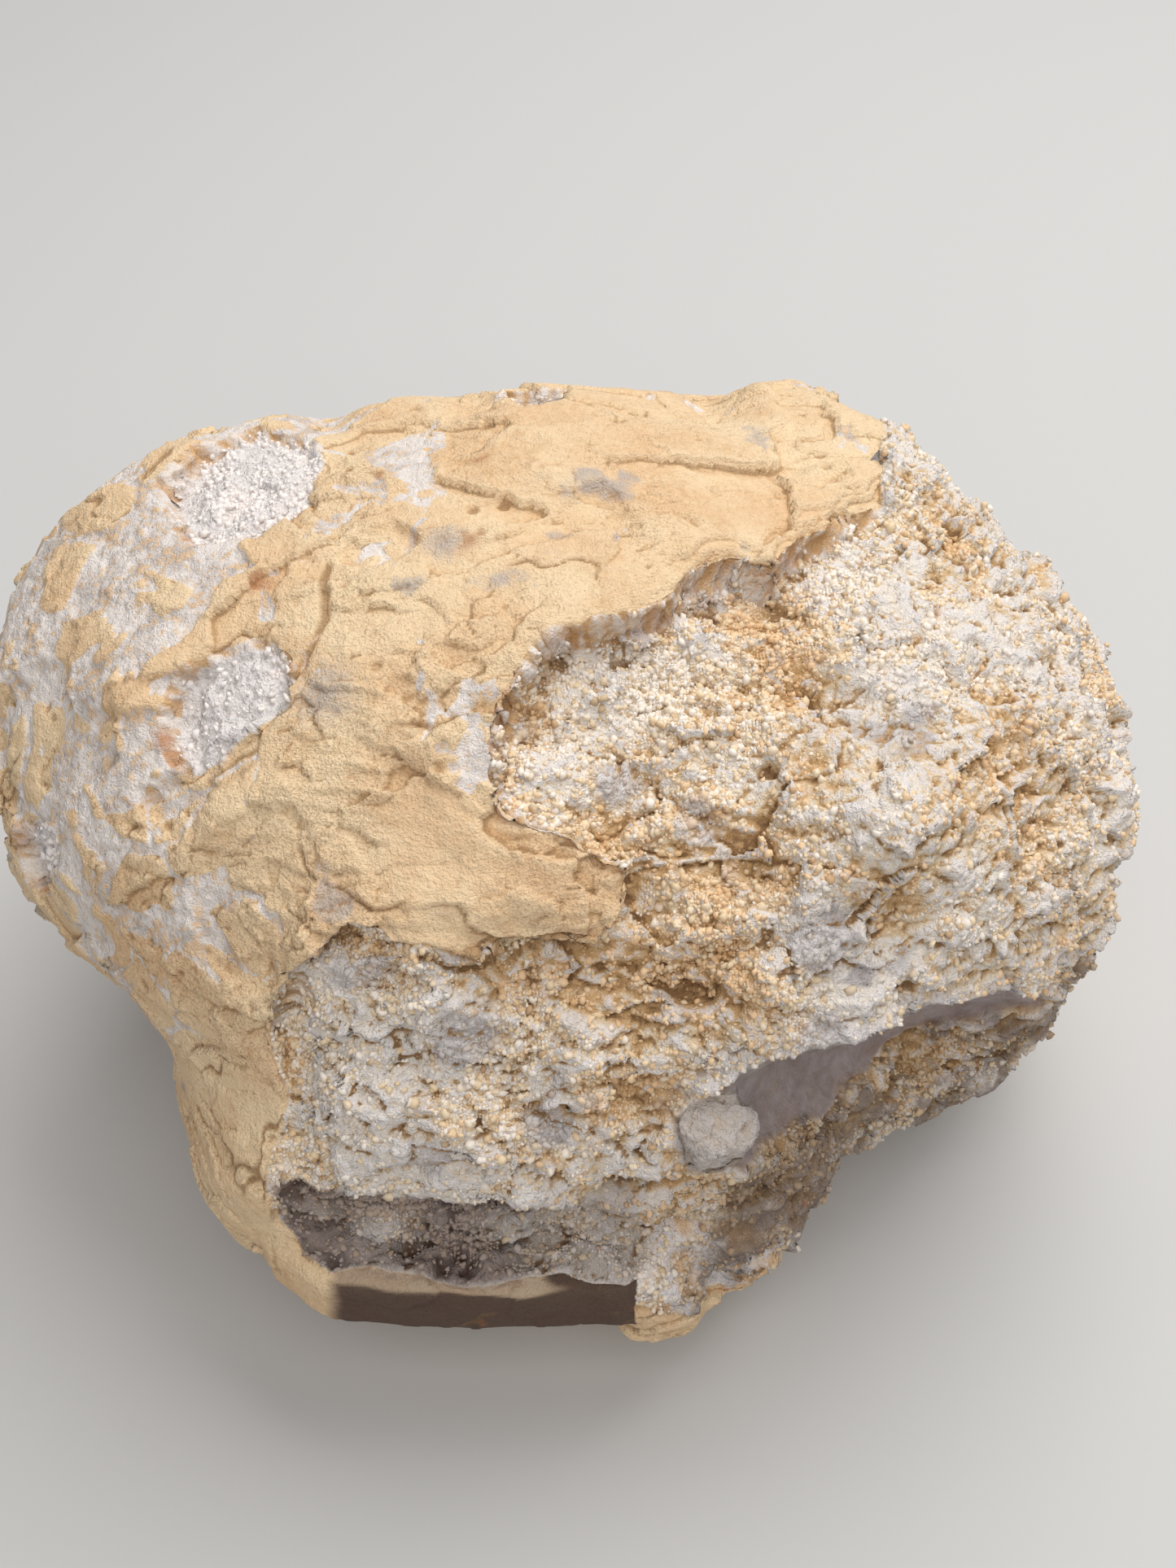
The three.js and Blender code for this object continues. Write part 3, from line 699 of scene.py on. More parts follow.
@dataclass
class StoneSkin:
    """The whole outside of the stone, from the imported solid's form down to grains and chips."""

    pitch: float = 0.84
    relax_times: int = 40
    ledge_guard: float = 2.2
    edge_stray: float = 1.2
    undercut: float = 1.2
    mean_radius: float = 85
    bedding: tuple = (0.62, 1.0, 1.2)
    lie: tuple = (0.85, 1.0, 1.5)
    fibre_way: tuple = (0.5, -0.33, -0.8)
    fibre_stretch: float = 0.72
    lump_mean: float = 0.6
    crease_round: int = 1
    cavity_rounds: int = 24
    calm_times: int = 16
    surface: Surface = field(init=False)
    edge: Array = field(init=False)
    chip: Array = field(init=False)
    direction: Array = field(init=False)
    bare: Array = field(init=False)
    calm_edge: Array = field(init=False)
    masks: dict = field(init=False, default_factory=dict)

    def build(self) -> bpy.types.Object:
        """Makes the finished skin as one closed mesh.

        Returns:
            The object, with its masks stored as attributes.
        """
        piece = Ops.copy_node(NODE)
        piece.name = "geode_skin"
        Ops.modify(piece, "REMESH", mode="VOXEL", voxel_size=self.pitch * MM)
        self.round_facets(piece)
        Ops.modify(piece, "SUBSURF", levels=1, render_levels=1)
        self.surface = Surface(piece)
        self.read_breaks()
        self.shape_ledges()
        self.shape_rind()
        self.shape_bare()
        self.surface.points[:, 2] = np.maximum(self.surface.points[:, 2], 0)
        self.surface.write()
        self.find_cavities()
        Ops.mark(piece.data, self.masks)
        return piece

    def round_facets(self, piece: bpy.types.Object) -> None:
        """Rounds the solid's facets off, and leaves its ledges sharp."""
        surface = Surface(piece)
        points = surface.points
        gap = np.abs(deepest(points, SCARS + WHITE_SCARS + HIDDEN_SCARS))
        gap = np.minimum(gap, np.abs(deepest(points, CHIPS)))
        weight = 0.08 + 0.92 * ease(0.5, self.ledge_guard, gap)
        for hollow in (RECESS, FRACTURE):
            level = hollow.level(points)
            wall = np.abs(level - 1) < 0.02
            points[wall] = hollow.snap(points[wall], level[wall])
            weight *= 0.1 + 0.9 * ease(1.02, 1.12, level)
        for block in (FRONT_BLOCK, SOUTH_CORNER):
            weight *= 0.25 + 0.75 * ease(1.0, 1.4, block.level(points))
        weight *= 1 - 0.85 * sill_share(points)
        surface.relax(0.6 * weight, self.relax_times)
        surface.write()

    def read_breaks(self) -> None:
        """Finds how far each point is inside or outside the flaked places, and what lies there."""
        points, masks = self.surface.points, self.masks
        ragged = Noise.stray(points, 2.6, 0.45, 301)
        white = deepest(ragged, WHITE_SCARS)
        self.edge = np.maximum(np.maximum(deepest(ragged, SCARS), white), deepest(ragged, HIDDEN_SCARS))
        self.chip = deepest(ragged, CHIPS)
        self.direction = from_heart(points)
        x, y, z = (Noise.stray(points, 5.0, 1.4, 303) - SHIFT).T
        recess = self.find_recess(points, x, y, z)
        sill = sill_share(points)
        sill *= 1 - recess
        self.bare = np.maximum(ease(-0.15, 0.45, self.edge), recess) * (1 - sill)
        masks["bare"] = self.bare
        masks["white"] = ease(-0.2, 0.6, white)
        masks["chip"] = ease(-0.2, 0.3, self.chip) * (1 - self.bare)
        # the recess, which the finishes paint dark as shade; less on its right and on its lumps
        masks["recess"] = recess * (1 - 0.5 * ease(-8, 0, x)) * (1 - spotted(points, RECESS_SPOTS))
        masks["sill"] = sill
        masks["sill_end"] = ease(-28.5, -31.0, x)
        masks["sill_top"] = np.maximum(ease(32.2, 32.9, z), masks["sill_end"])
        calcite = between(x, (7, 12), (33, 28)) * ease(39, 34, z) * (y < -40)
        masks["calcite"] = calcite * self.bare * (1 - recess)
        self.calm_edge = np.maximum(np.maximum(self.facing(LEFT_EDGE), self.facing(TONGUE_FOOT)), calcite)
        self.read_lower_right(points, x, y, z)

    @staticmethod
    def find_recess(points: Array, x: Array, y: Array, z: Array) -> Array:
        """Share of the dark recess; x, y and z are strayed places, as the part's source counts them."""
        front = np.interp(x, *zip(*SILL_FRONT))
        lip = LIP_HEIGHT + 1.8 * Noise.waves(points, 6.0, 311)
        recess = ease(lip + 0.7, lip - 0.7, z) * ease(30.6, 31.6, points[:, 2] - SHIFT[2])
        recess *= ease(front + 0.3, front + 1.0, y) * ease(-46, -50, y)
        return recess * between(x, (-38.5, -35.5), (12, 8))

    def read_lower_right(self, points: Array, x: Array, y: Array, z: Array) -> None:
        """Marks the shelf with its rim and its block, and the ground under it, which the finishes darken as
        painted shade over its brown.
        """
        masks, bare = self.masks, self.bare
        level = FRACTURE.level(points)
        under = z - np.interp(x, *zip(*SHELF_FOOT))
        inside = ease(1.05, 1.015, level)
        block = ease(1.2, 1.05, FRONT_BLOCK.level(points))
        # the ground under the shelf, where the finishes paint shade over the stone's brown
        earth = ease(3.0, -3.0, under) * ease(8, 22, x) * ease(0, -26, y)
        rim = ease(1.16, 1.04, level) * (1 - inside) * ease(0, 2, under)
        masks["block"] = block * bare
        masks["shelf"] = inside * ease(-0.8, 0.8, under) * bare * (1 - block)
        masks["rim"] = rim * bare * (1 - block)
        patchy = 0.4 + 0.6 * ease(-0.25, 0.2, Noise.rough(points, 9.0, 313, 3))
        masks["earth"] = earth * bare * patchy

    def facing(self, cone: tuple) -> Array:
        """Share from 1 near a bearing to 0 away from it.

        Args:
            cone: direction, height angle, and the angles away where the share is 1 and 0, in degrees.

        Returns:
            The share at each point.
        """
        lon, lat, full, none = cone
        slant = np.degrees(np.arccos(np.clip(self.direction @ toward(lon, lat), -1, 1)))
        return ease(none, full, slant)

    def shape_ledges(self) -> None:
        """Makes the rind's broken edges ragged, layered and undercut, and the walls under them fibrous."""
        surface = self.surface
        normals = surface.normals()
        quiet = 1 - np.maximum(self.masks["recess"], self.masks["sill"])
        quiet = quiet * (1 - 0.85 * self.calm_edge)
        near = np.minimum(bell(self.edge, 3.5) + bell(self.chip, 2.5), 1) * quiet
        drift = np.stack([Noise.rough(surface.points, 5.5, 401 + 11 * i, 4) for i in range(3)], axis=1)
        along = drift - normals * np.sum(drift * normals, axis=1)[:, None]
        flatness = np.abs(np.sum(normals * self.direction, axis=1))
        wall = ease(0.8, 0.5, flatness) * bell(self.edge, 1.8) * ease(-1.6, -0.2, self.edge)
        wall = wall * quiet * (1 - self.masks["shelf"])
        surface.points = surface.points + self.edge_stray * near[:, None] * along
        groove = bell(self.edge - 1.4, 1.5) * self.bare * quiet
        groove *= 0.6 + 0.6 * Noise.waves(surface.points, 7.0, 411)
        surface.points -= self.undercut * groove[:, None] * self.direction
        ball = self.direction * self.mean_radius
        streaks = Noise.waves(ball, 0.95, 421) + 0.6 * Noise.waves(ball, 1.9, 423)
        surface.points += (0.3 * wall * streaks)[:, None] * normals
        self.masks["wall"] = wall
        self.masks["streak"] = 0.5 + 0.4 * streaks
        surface.relax(0.5 * self.calm_edge * bell(self.edge, 4.0), self.calm_times)
        surface.write()

    def shape_rind(self) -> None:
        """Gives the clay its flaked facets, cracks and dents and, in the west, a white matrix."""
        surface, masks = self.surface, self.masks
        points = surface.points
        rind = (1 - self.bare) * (1 - 0.6 * masks["sill"])
        tongue = self.facing(TONGUE)
        rough = ease(-0.1, 0.45, Noise.rough(points, 13.0, 523, 4) + 0.35 * tongue)
        crack = self.find_cracks(points)
        near_pit, _, pit_number, _ = Noise.cells(points, 4.5, 541)
        pit = ease(0.24, 0.1, near_pit) * (pit_number > 0.9 - 0.2 * rough)
        height = self.flakes(points, tongue, rough)
        height -= 0.4 * crack
        height -= 0.5 * pit
        height -= self.layers(points)
        matrix = self.find_matrix(points)
        grain = Noise.lumps(points, 1.5, 551) + 0.8 * Noise.lumps(points, 3.1, 553)
        height = height * (1 - 0.4 * matrix) - matrix * (0.85 - 0.4 * grain)
        surface.points = points + (rind * height)[:, None] * surface.normals()
        surface.write()
        masks["matrix"] = matrix * (1 - self.bare)
        masks["crack"] = np.maximum(crack, 0.5 * pit) * rind * (1 - matrix)
        masks["rough"] = rough * rind
        self.stain(points)

    def flakes(self, points: Array, tongue: Array, rough: Array) -> Array:
        """Height of the clay's swells and facets; tongue and rough are shares at the points."""
        laid = points * self.bedding
        flaked = ease(-0.35, 0.35, Noise.rough(points, 19.0, 511, 2) + 0.6 * tongue)
        broken = Noise.stray(Noise.stray(laid, 6.0, 1.6, 515), 1.7, 0.45, 516)
        height = 1.2 * Noise.rough(points, 17.0, 513, 3)
        height += 0.78 * Noise.facets(broken, 14.0, 517)
        height += 0.38 * (0.25 + 0.75 * flaked) * Noise.facets(broken, 5.5, 518)
        height += 0.32 * (0.1 + 0.9 * rough) * Noise.facets(broken, 2.5, 519)
        height += (0.08 + 0.14 * rough) * Noise.rough(laid, 2.2, 529, 3)
        return height

    def layers(self, points: Array) -> Array:
        """Depth of the two thin layers that have come off the clay beside its broken edges."""
        ledge = self.edge + 1.6 * Noise.waves(points, 4.0, 547)
        layered = self.facing(LAYERED_EAST) + 0.45 * self.facing(LAYERED_FRONT)
        steps = ease(-1.9, -1.5, ledge) + 0.8 * ease(-4.0, -3.6, ledge)
        return 0.7 * np.minimum(layered, 1) * steps

    def stain(self, points: Array) -> None:
        """Marks rust and grey lime on the rind."""
        rust = spotted(points, RUST_SPOTS) * ease(-0.5, 0.3, Noise.rough(points, 2.2, 561, 2))
        rust = rust + 0.7 * ease(0.5, 0.7, Noise.rough(points, 4.0, 563, 4))
        rust = rust + 0.5 * bell(self.edge, 1.0) * ease(0.1, 0.6, Noise.waves(points, 6.0, 567))
        grey = spotted(points, GREY_SPOTS) + 0.8 * ease(0.35, 0.6, Noise.rough(points, 9.0, 571, 4))
        self.masks["rust"] = np.clip(rust, 0, 1) * (1 - self.masks["recess"])
        self.masks["grey"] = np.clip(grey, 0, 1) * (1 - self.bare) * (1 - self.masks["sill"])

    def find_cracks(self, points: Array) -> Array:
        """Share of the long crack and of the fine ones, from 0 to 1."""
        line = np.abs(Noise.rough(Noise.stray(points, 5.0, 1.0, 531), 20.0, 533, 4))
        fine = ease(0.018, 0.005, line) * ease(0.15, 0.4, Noise.waves(points, 13.0, 537))
        local = Noise.stray(points, 3.0, 0.5, 539) - SHIFT
        gap = np.full(len(points), FAR)
        for a, b in zip(LONG_CRACK, LONG_CRACK[1:]):
            start = np.array(a)
            side = np.array(b) - start
            share = np.clip((local - start) @ side / (side @ side), 0, 1)
            gap = np.minimum(gap, np.linalg.norm(local - start - share[:, None] * side, axis=1))
        return np.maximum(fine, ease(0.85, 0.35, gap))

    def find_matrix(self, points: Array) -> Array:
        """Share of white granular matrix between the islands of clay, from 0 to 1."""
        warped = Noise.stray(Noise.stray(points, 9.0, 4.0, 601), 2.2, 0.9, 603)
        ground = sum(share * self.facing(cone) for share, cone in MATRIX_GROUND)
        ground += 0.6 * ease(0.0, 0.5, Noise.waves(points, 30.0, 607)) * (points[:, 1] > 8)
        ground += 0.35 * ease(0.2, 0.5, Noise.rough(points, 16.0, 608, 2))
        ground = np.clip(ground, 0, 1)
        near, after, number, _ = Noise.cells(warped, 12.0, 609)
        gap = 0.16 * ground * (1 + 2.6 * Noise.rough(points, 9.0, 611, 4)) - 0.03
        veins = ease(gap + 0.05, gap - 0.05, after - near) * ease(0.05, 0.2, ground)
        fields = ease(0.98, 1.02, number + 0.2 * ground + 0.15 * Noise.rough(points, 4.0, 613, 3))
        patches = ease(0.0, 0.1, Noise.rough(warped, 9.0, 616, 5) - 0.56 + 0.36 * ground)
        return np.maximum(np.maximum(veins, fields), patches) * (1 - self.masks["sill"])

    def shape_bare(self) -> None:
        """Gives the bare chalcedony its sugary lumps, glassy patches and pits."""
        surface, masks = self.surface, self.masks
        points = surface.points
        shelf, block, white = masks["shelf"], masks["block"], masks["white"]
        glass = self.find_glass(points) * (1 - white)
        wispy = ease(-0.1, 0.5, Noise.rough(points, 15.0, 702, 3))
        calm = (1 - 0.93 * shelf) * (1 - 0.6 * block) * (1 - 0.3 * glass) * (1 - 0.5 * white)
        calm *= 1 - 0.6 * self.facing(LEFT_EDGE) * bell(self.edge, 4.0)
        amount = self.bare * calm * (1 - 0.35 * wispy)
        laid = points * self.lie
        warped = Noise.stray(Noise.stray(laid, 5.0, 1.5, 703), 1.5, 0.4, 704)
        gully = spotted(points, GULLY_SPOTS)
        pit = ease(0.48, 0.7, Noise.rough(warped, 4.2, 721, 4) + 0.3 * gully)
        lift = amount * (self.lumps(points, warped) - 1.3 * pit) + self.smooth_parts(points)
        squared = FRONT_BLOCK.square(points, block, *BLOCK_SIDES)
        surface.points = squared + lift[:, None] * surface.normals()
        surface.write()
        # the orange-brown tone of the bare stone, with painted shade added in the dents, the gully and the
        # ground under the shelf, and taken off as painted highlight on the swells
        honey = 0.5 + 0.55 * Noise.rough(laid, 8.0, 727, 5) + 0.3 * gully
        honey += 0.6 * spotted(squared, HONEY_SHADE_SPOTS) - 0.45 * spotted(squared, PALE_HIGHLIGHT_SPOTS)
        honey += 0.4 * masks["earth"] - 0.3 * wispy - 0.14 * ease(-44, -54, squared[:, 1])
        masks["glass"] = glass
        masks["pit"] = np.clip(pit + 0.3 * gully, 0, 1) * amount
        masks["honey"] = np.clip(honey, 0, 1) * self.bare * (1 - white)

    def find_glass(self, points: Array) -> Array:
        """Share of the glassy grey patches on the bare stone."""
        patch = ease(0.3, 0.6, Noise.rough(points, 8.0, 701, 4))
        spots = spotted(points, GLASS_SPOTS) + 0.7 * Noise.rough(points, 4.0, 705, 4)
        return np.maximum(patch, ease(0.3, 0.75, spots)) * self.bare

    def lumps(self, points: Array, warped: Array) -> Array:
        """Height of the lumps and crags of the bare stone; warped holds the same points, strayed."""
        height = (2.8 + 1.2 * self.masks["recess"]) * (Noise.lumps(warped, 8.0, 707) - self.lump_mean)
        height += 1.3 * (Noise.lumps(warped, 3.8, 709) - self.lump_mean)
        height += 0.8 * (Noise.lumps(warped, 1.9, 713) - self.lump_mean)
        height += 0.6 * Noise.rough(points, 1.5, 717, 2)
        height += 1.15 * Noise.facets(warped, 6.5, 731) + 0.45 * Noise.facets(warped, 2.6, 733)
        return height

    def smooth_parts(self, points: Array) -> Array:
        """Height of the broad swells, the shelf's waves, the block's chips and the calcite's fibres."""
        shelf, block, calcite = self.masks["shelf"], self.masks["block"], self.masks["calcite"]
        broad = 2.0 * Noise.rough(points, 18.0, 719, 3) * (1 - block) * self.bare + swelling(points)
        waves = 0.4 * Noise.rough(points, 9.0, 723, 3) + 0.1 * Noise.rough(points, 1.6, 725, 2)
        chips = 0.5 * Noise.facets(points, 5.5, 729) + 0.25 * Noise.facets(points, 2.6, 737)
        way = np.array(self.fibre_way)
        fibres = Noise.rough(points - self.fibre_stretch * (points @ way)[:, None] * way, 2.4, 735, 3)
        self.masks["streak"] = self.masks["streak"] * (1 - calcite) + calcite * (0.5 + 0.7 * fibres)
        return broad * (1 - shelf) + waves * shelf + chips * block + 0.9 * calcite * fibres

    def find_cavities(self) -> None:
        """Finds how deep each point lies under its surroundings, near by and further off."""
        surface = self.surface
        normals = surface.normals()
        around = surface.points
        for turn in range(self.cavity_rounds):
            around = surface.mean(around)
            if turn == self.crease_round:
                self.masks["crease"] = np.sum((around - surface.points) * normals, axis=1)
        self.masks["cavity"] = np.sum((around - surface.points) * normals, axis=1)


@dataclass
class SkinPieces:
    """The skin parted into regions that meet edge to edge, each a closed piece of its own."""

    rim_depth: float = 2.5
    uv_rounds: int = 160
    uv_margin: float = 0.015
    upright: float = 0.9
    least_spread: float = 0.05

    def split(self, skin: bpy.types.Object) -> list[bpy.types.Object]:
        """Parts the skin.

        Args:
            skin: the whole closed skin, which is used up.

        Returns:
            One object for each region, in the order of Region.
        """
        mesh = skin.data
        centres = np.empty(len(mesh.polygons) * 3)
        mesh.polygons.foreach_get("center", centres)
        owner = Region.owners(centres.reshape(-1, 3) / MM).astype(np.int32)
        mesh.materials.clear()
        for region in Region:
            mesh.materials.append(bpy.data.materials.new(f"region_{region.label}"))
        mesh.polygons.foreach_set("material_index", owner)
        Ops.only(skin)
        before = set(bpy.data.objects)
        bpy.ops.object.mode_set(mode="EDIT")
        bpy.ops.mesh.select_all(action="SELECT")
        bpy.ops.mesh.separate(type="MATERIAL")
        bpy.ops.object.mode_set(mode="OBJECT")
        made = [skin, *(o for o in bpy.data.objects if o not in before)]
        found = {o.data.materials[0].name.removeprefix("region_"): o for o in made}
        pieces = []
        for region in Region:
            piece = found[region.label]
            piece.name = f"geode_{region.label}"
            self.map_flat(piece, region)
            self.close(piece)
            pieces.append(piece)
        return pieces

    def map_flat(self, piece: bpy.types.Object, region: Region) -> None:
        """Lays the region out flat round its own axis, evened so that steep walls have width."""
        surface = Surface(piece)
        way = from_heart(surface.points)
        axis = region.axis
        side = np.cross(axis, (0.0, 0.0, 1.0) if abs(axis[2]) < self.upright else (0.0, 1.0, 0.0))
        side /= np.linalg.norm(side)
        over = np.cross(axis, side)
        scale = 1 / np.sqrt(np.maximum(1 + way @ axis, self.least_spread))
        flat = np.stack((way @ side * scale, way @ over * scale), axis=1)
        for _ in range(self.uv_rounds):
            flat = surface.mean(flat)
        flat -= flat.min(axis=0)
        flat = self.uv_margin + flat / flat.max(axis=0) * (1 - 2 * self.uv_margin)
        mesh = piece.data
        corners = np.empty(len(mesh.loops), dtype=np.int32)
        mesh.loops.foreach_get("vertex_index", corners)
        layer = mesh.uv_layers.new(name=BAKE_MAP)
        layer.data.foreach_set("uv", flat[corners].astype(np.float32).ravel())

    def close(self, piece: bpy.types.Object) -> None:
        """Closes the region's open rim under the surface, by a narrow skirt and a cone to the heart."""
        shape = bmesh.new()
        shape.from_mesh(piece.data)
        rim = [edge for edge in shape.edges if edge.is_boundary]
        for edge in rim:
            edge.smooth = False
        skirt = bmesh.ops.extrude_edge_only(shape, edges=rim)["geom"]
        heart = Vector(HEART * MM)
        for vertex in (item for item in skirt if isinstance(item, bmesh.types.BMVert)):
            vertex.co += (heart - vertex.co).normalized() * self.rim_depth * MM
        low_edges = [item for item in skirt if isinstance(item, bmesh.types.BMEdge) and item.is_boundary]
        cone = bmesh.ops.extrude_edge_only(shape, edges=low_edges)["geom"]
        tips = [item for item in cone if isinstance(item, bmesh.types.BMVert)]
        bmesh.ops.pointmerge(shape, verts=tips, merge_co=heart)
        shape.normal_update()
        shape.to_mesh(piece.data)
        shape.free()


def feed(tree: bpy.types.NodeTree, slot: bpy.types.NodeSocket, value: object) -> None:
    """Links a Socket to a node's input, or sets the input to a number or a Tint."""
    if isinstance(value, Socket):
        tree.links.new(value.link, slot)
    else:
        slot.default_value = value.rgba if isinstance(value, Tint) else value


class Socket:
    """A node's output, with the operators that add Math nodes."""

    def __init__(self, tree: bpy.types.NodeTree, link: bpy.types.NodeSocket) -> None:
        """Wraps an output of a tree."""
        self.tree = tree
        self.link = link

    def math(self, operation: str, *values: object) -> "Socket":
        """Adds a Math node over this value and others.

        Args:
            operation: Blender's name for it.
            values: further numbers or sockets.

        Returns:
            The node's output.
        """
        node = self.tree.nodes.new("ShaderNodeMath")
        node.operation = operation
        for slot, value in zip(node.inputs, (self, *values)):
            feed(self.tree, slot, value)
        return Socket(self.tree, node.outputs[0])

    def __add__(self, other: object) -> "Socket":
        """Sum."""
        return self.math("ADD", other)

    def __sub__(self, other: object) -> "Socket":
        """Difference."""
        return self.math("SUBTRACT", other)

    def __rsub__(self, other: float) -> "Socket":
        """A number less this."""
        return self.math("MULTIPLY", -1.0).math("ADD", other)

    def __mul__(self, other: object) -> "Socket":
        """Product."""
        return self.math("MULTIPLY", other)

    __radd__ = __add__
    __rmul__ = __mul__

    def sway(self, width: float) -> "Socket":
        """Noise from 0 to 1, widened to a width about 0."""
        return (self - 0.5) * width

    def step(self, low: float, high: float) -> "Socket":
        """Eases from 0 at low to 1 at high, also where low is above high."""
        if low > high:
            return 1 - self.step(high, low)
        node = self.tree.nodes.new("ShaderNodeMapRange")
        node.interpolation_type = "SMOOTHSTEP"
        self.tree.links.new(self.link, node.inputs["Value"])
        node.inputs["From Min"].default_value = low
        node.inputs["From Max"].default_value = high
        return Socket(self.tree, node.outputs["Result"])


class Paint:
    """A material being made: adds its nodes and mixes its colours."""

    def __init__(self, name: str) -> None:
        """Starts a material with one Principled shader."""
        self.material = bpy.data.materials.new(name)
        self.material.use_nodes = True
        self.tree = self.material.node_tree
        self.shader = self.tree.nodes["Principled BSDF"]
        self.place = self.node("ShaderNodeTexCoord", output="Object")

    def node(self, kind: str, output: str | int, settings: dict | None = None, **inputs: object) -> Socket:
        """Adds any node.

        Args:
            kind: Blender's name for its type.
            output: which output is wanted.
            settings: the node's own properties, set first.
            inputs: values or sockets by input name, with _ for a space.

        Returns:
            The wanted output.
        """
        made = self.tree.nodes.new(kind)
        for name, value in (settings or {}).items():
            setattr(made, name, value)
        self.feed(made, **inputs)
        return Socket(self.tree, made.outputs[output])

    def noise(self, size: float, detail: float, rough: float = 0.55) -> Socket:
        """Noise from 0 to 1 whose bumps are about one size apart, in millimetres."""
        shape = {"Vector": self.place, "Scale": 1 / (size * MM), "Detail": detail, "Roughness": rough}
        return self.node("ShaderNodeTexNoise", "Fac", **shape)

    def cells(self, size: float) -> Socket:
        """Distance to the nearest of many scattered places about one size apart, in millimetres."""
        return self.node("ShaderNodeTexVoronoi", "Distance", Vector=self.place, Scale=1 / (size * MM))

    def mask(self, name: str) -> Socket:
        """One of the numbers stored on the mesh."""
        return self.node("ShaderNodeAttribute", output="Fac", settings={"attribute_name": name})

    def mix(self, share: object, a: object, b: object) -> Socket:
        """Mixes two colours.

        Args:
            share: 0 for all of the first, 1 for all of the second.
            a: first colour, as a Tint or a socket.
            b: second colour.

        Returns:
            The mixed colour.
        """
        made = self.tree.nodes.new("ShaderNodeMix")
        made.data_type = "RGBA"
        for slot, value in zip((made.inputs[0], made.inputs[6], made.inputs[7]), (share, a, b)):
            feed(self.tree, slot, value)
        return Socket(self.tree, made.outputs[2])

    def coat(self, colour: object, *layers: tuple) -> Socket:
        """Lays colours over a first one.

        Args:
            colour: the first colour, as a Tint or a socket.
            layers: the share and the colour of each layer, in order.

        Returns:
            The colour of all of them.
        """
        for share, tint in layers:
            colour = self.mix(share, colour, tint)
        return colour

    def feed(self, node: bpy.types.Node, **inputs: object) -> None:
        """Links or sets a node's inputs, by name with _ for a space."""
        for name, value in inputs.items():
            feed(self.tree, node.inputs[name.replace("_", " ")], value)

    def bump(self, height: Socket, depth: float, strength: float = 1.0) -> Socket:
        """Normal bent by a height, whose full range is a depth in millimetres."""
        return self.node("ShaderNodeBump", "Normal", Height=height, Distance=depth * MM, Strength=strength)


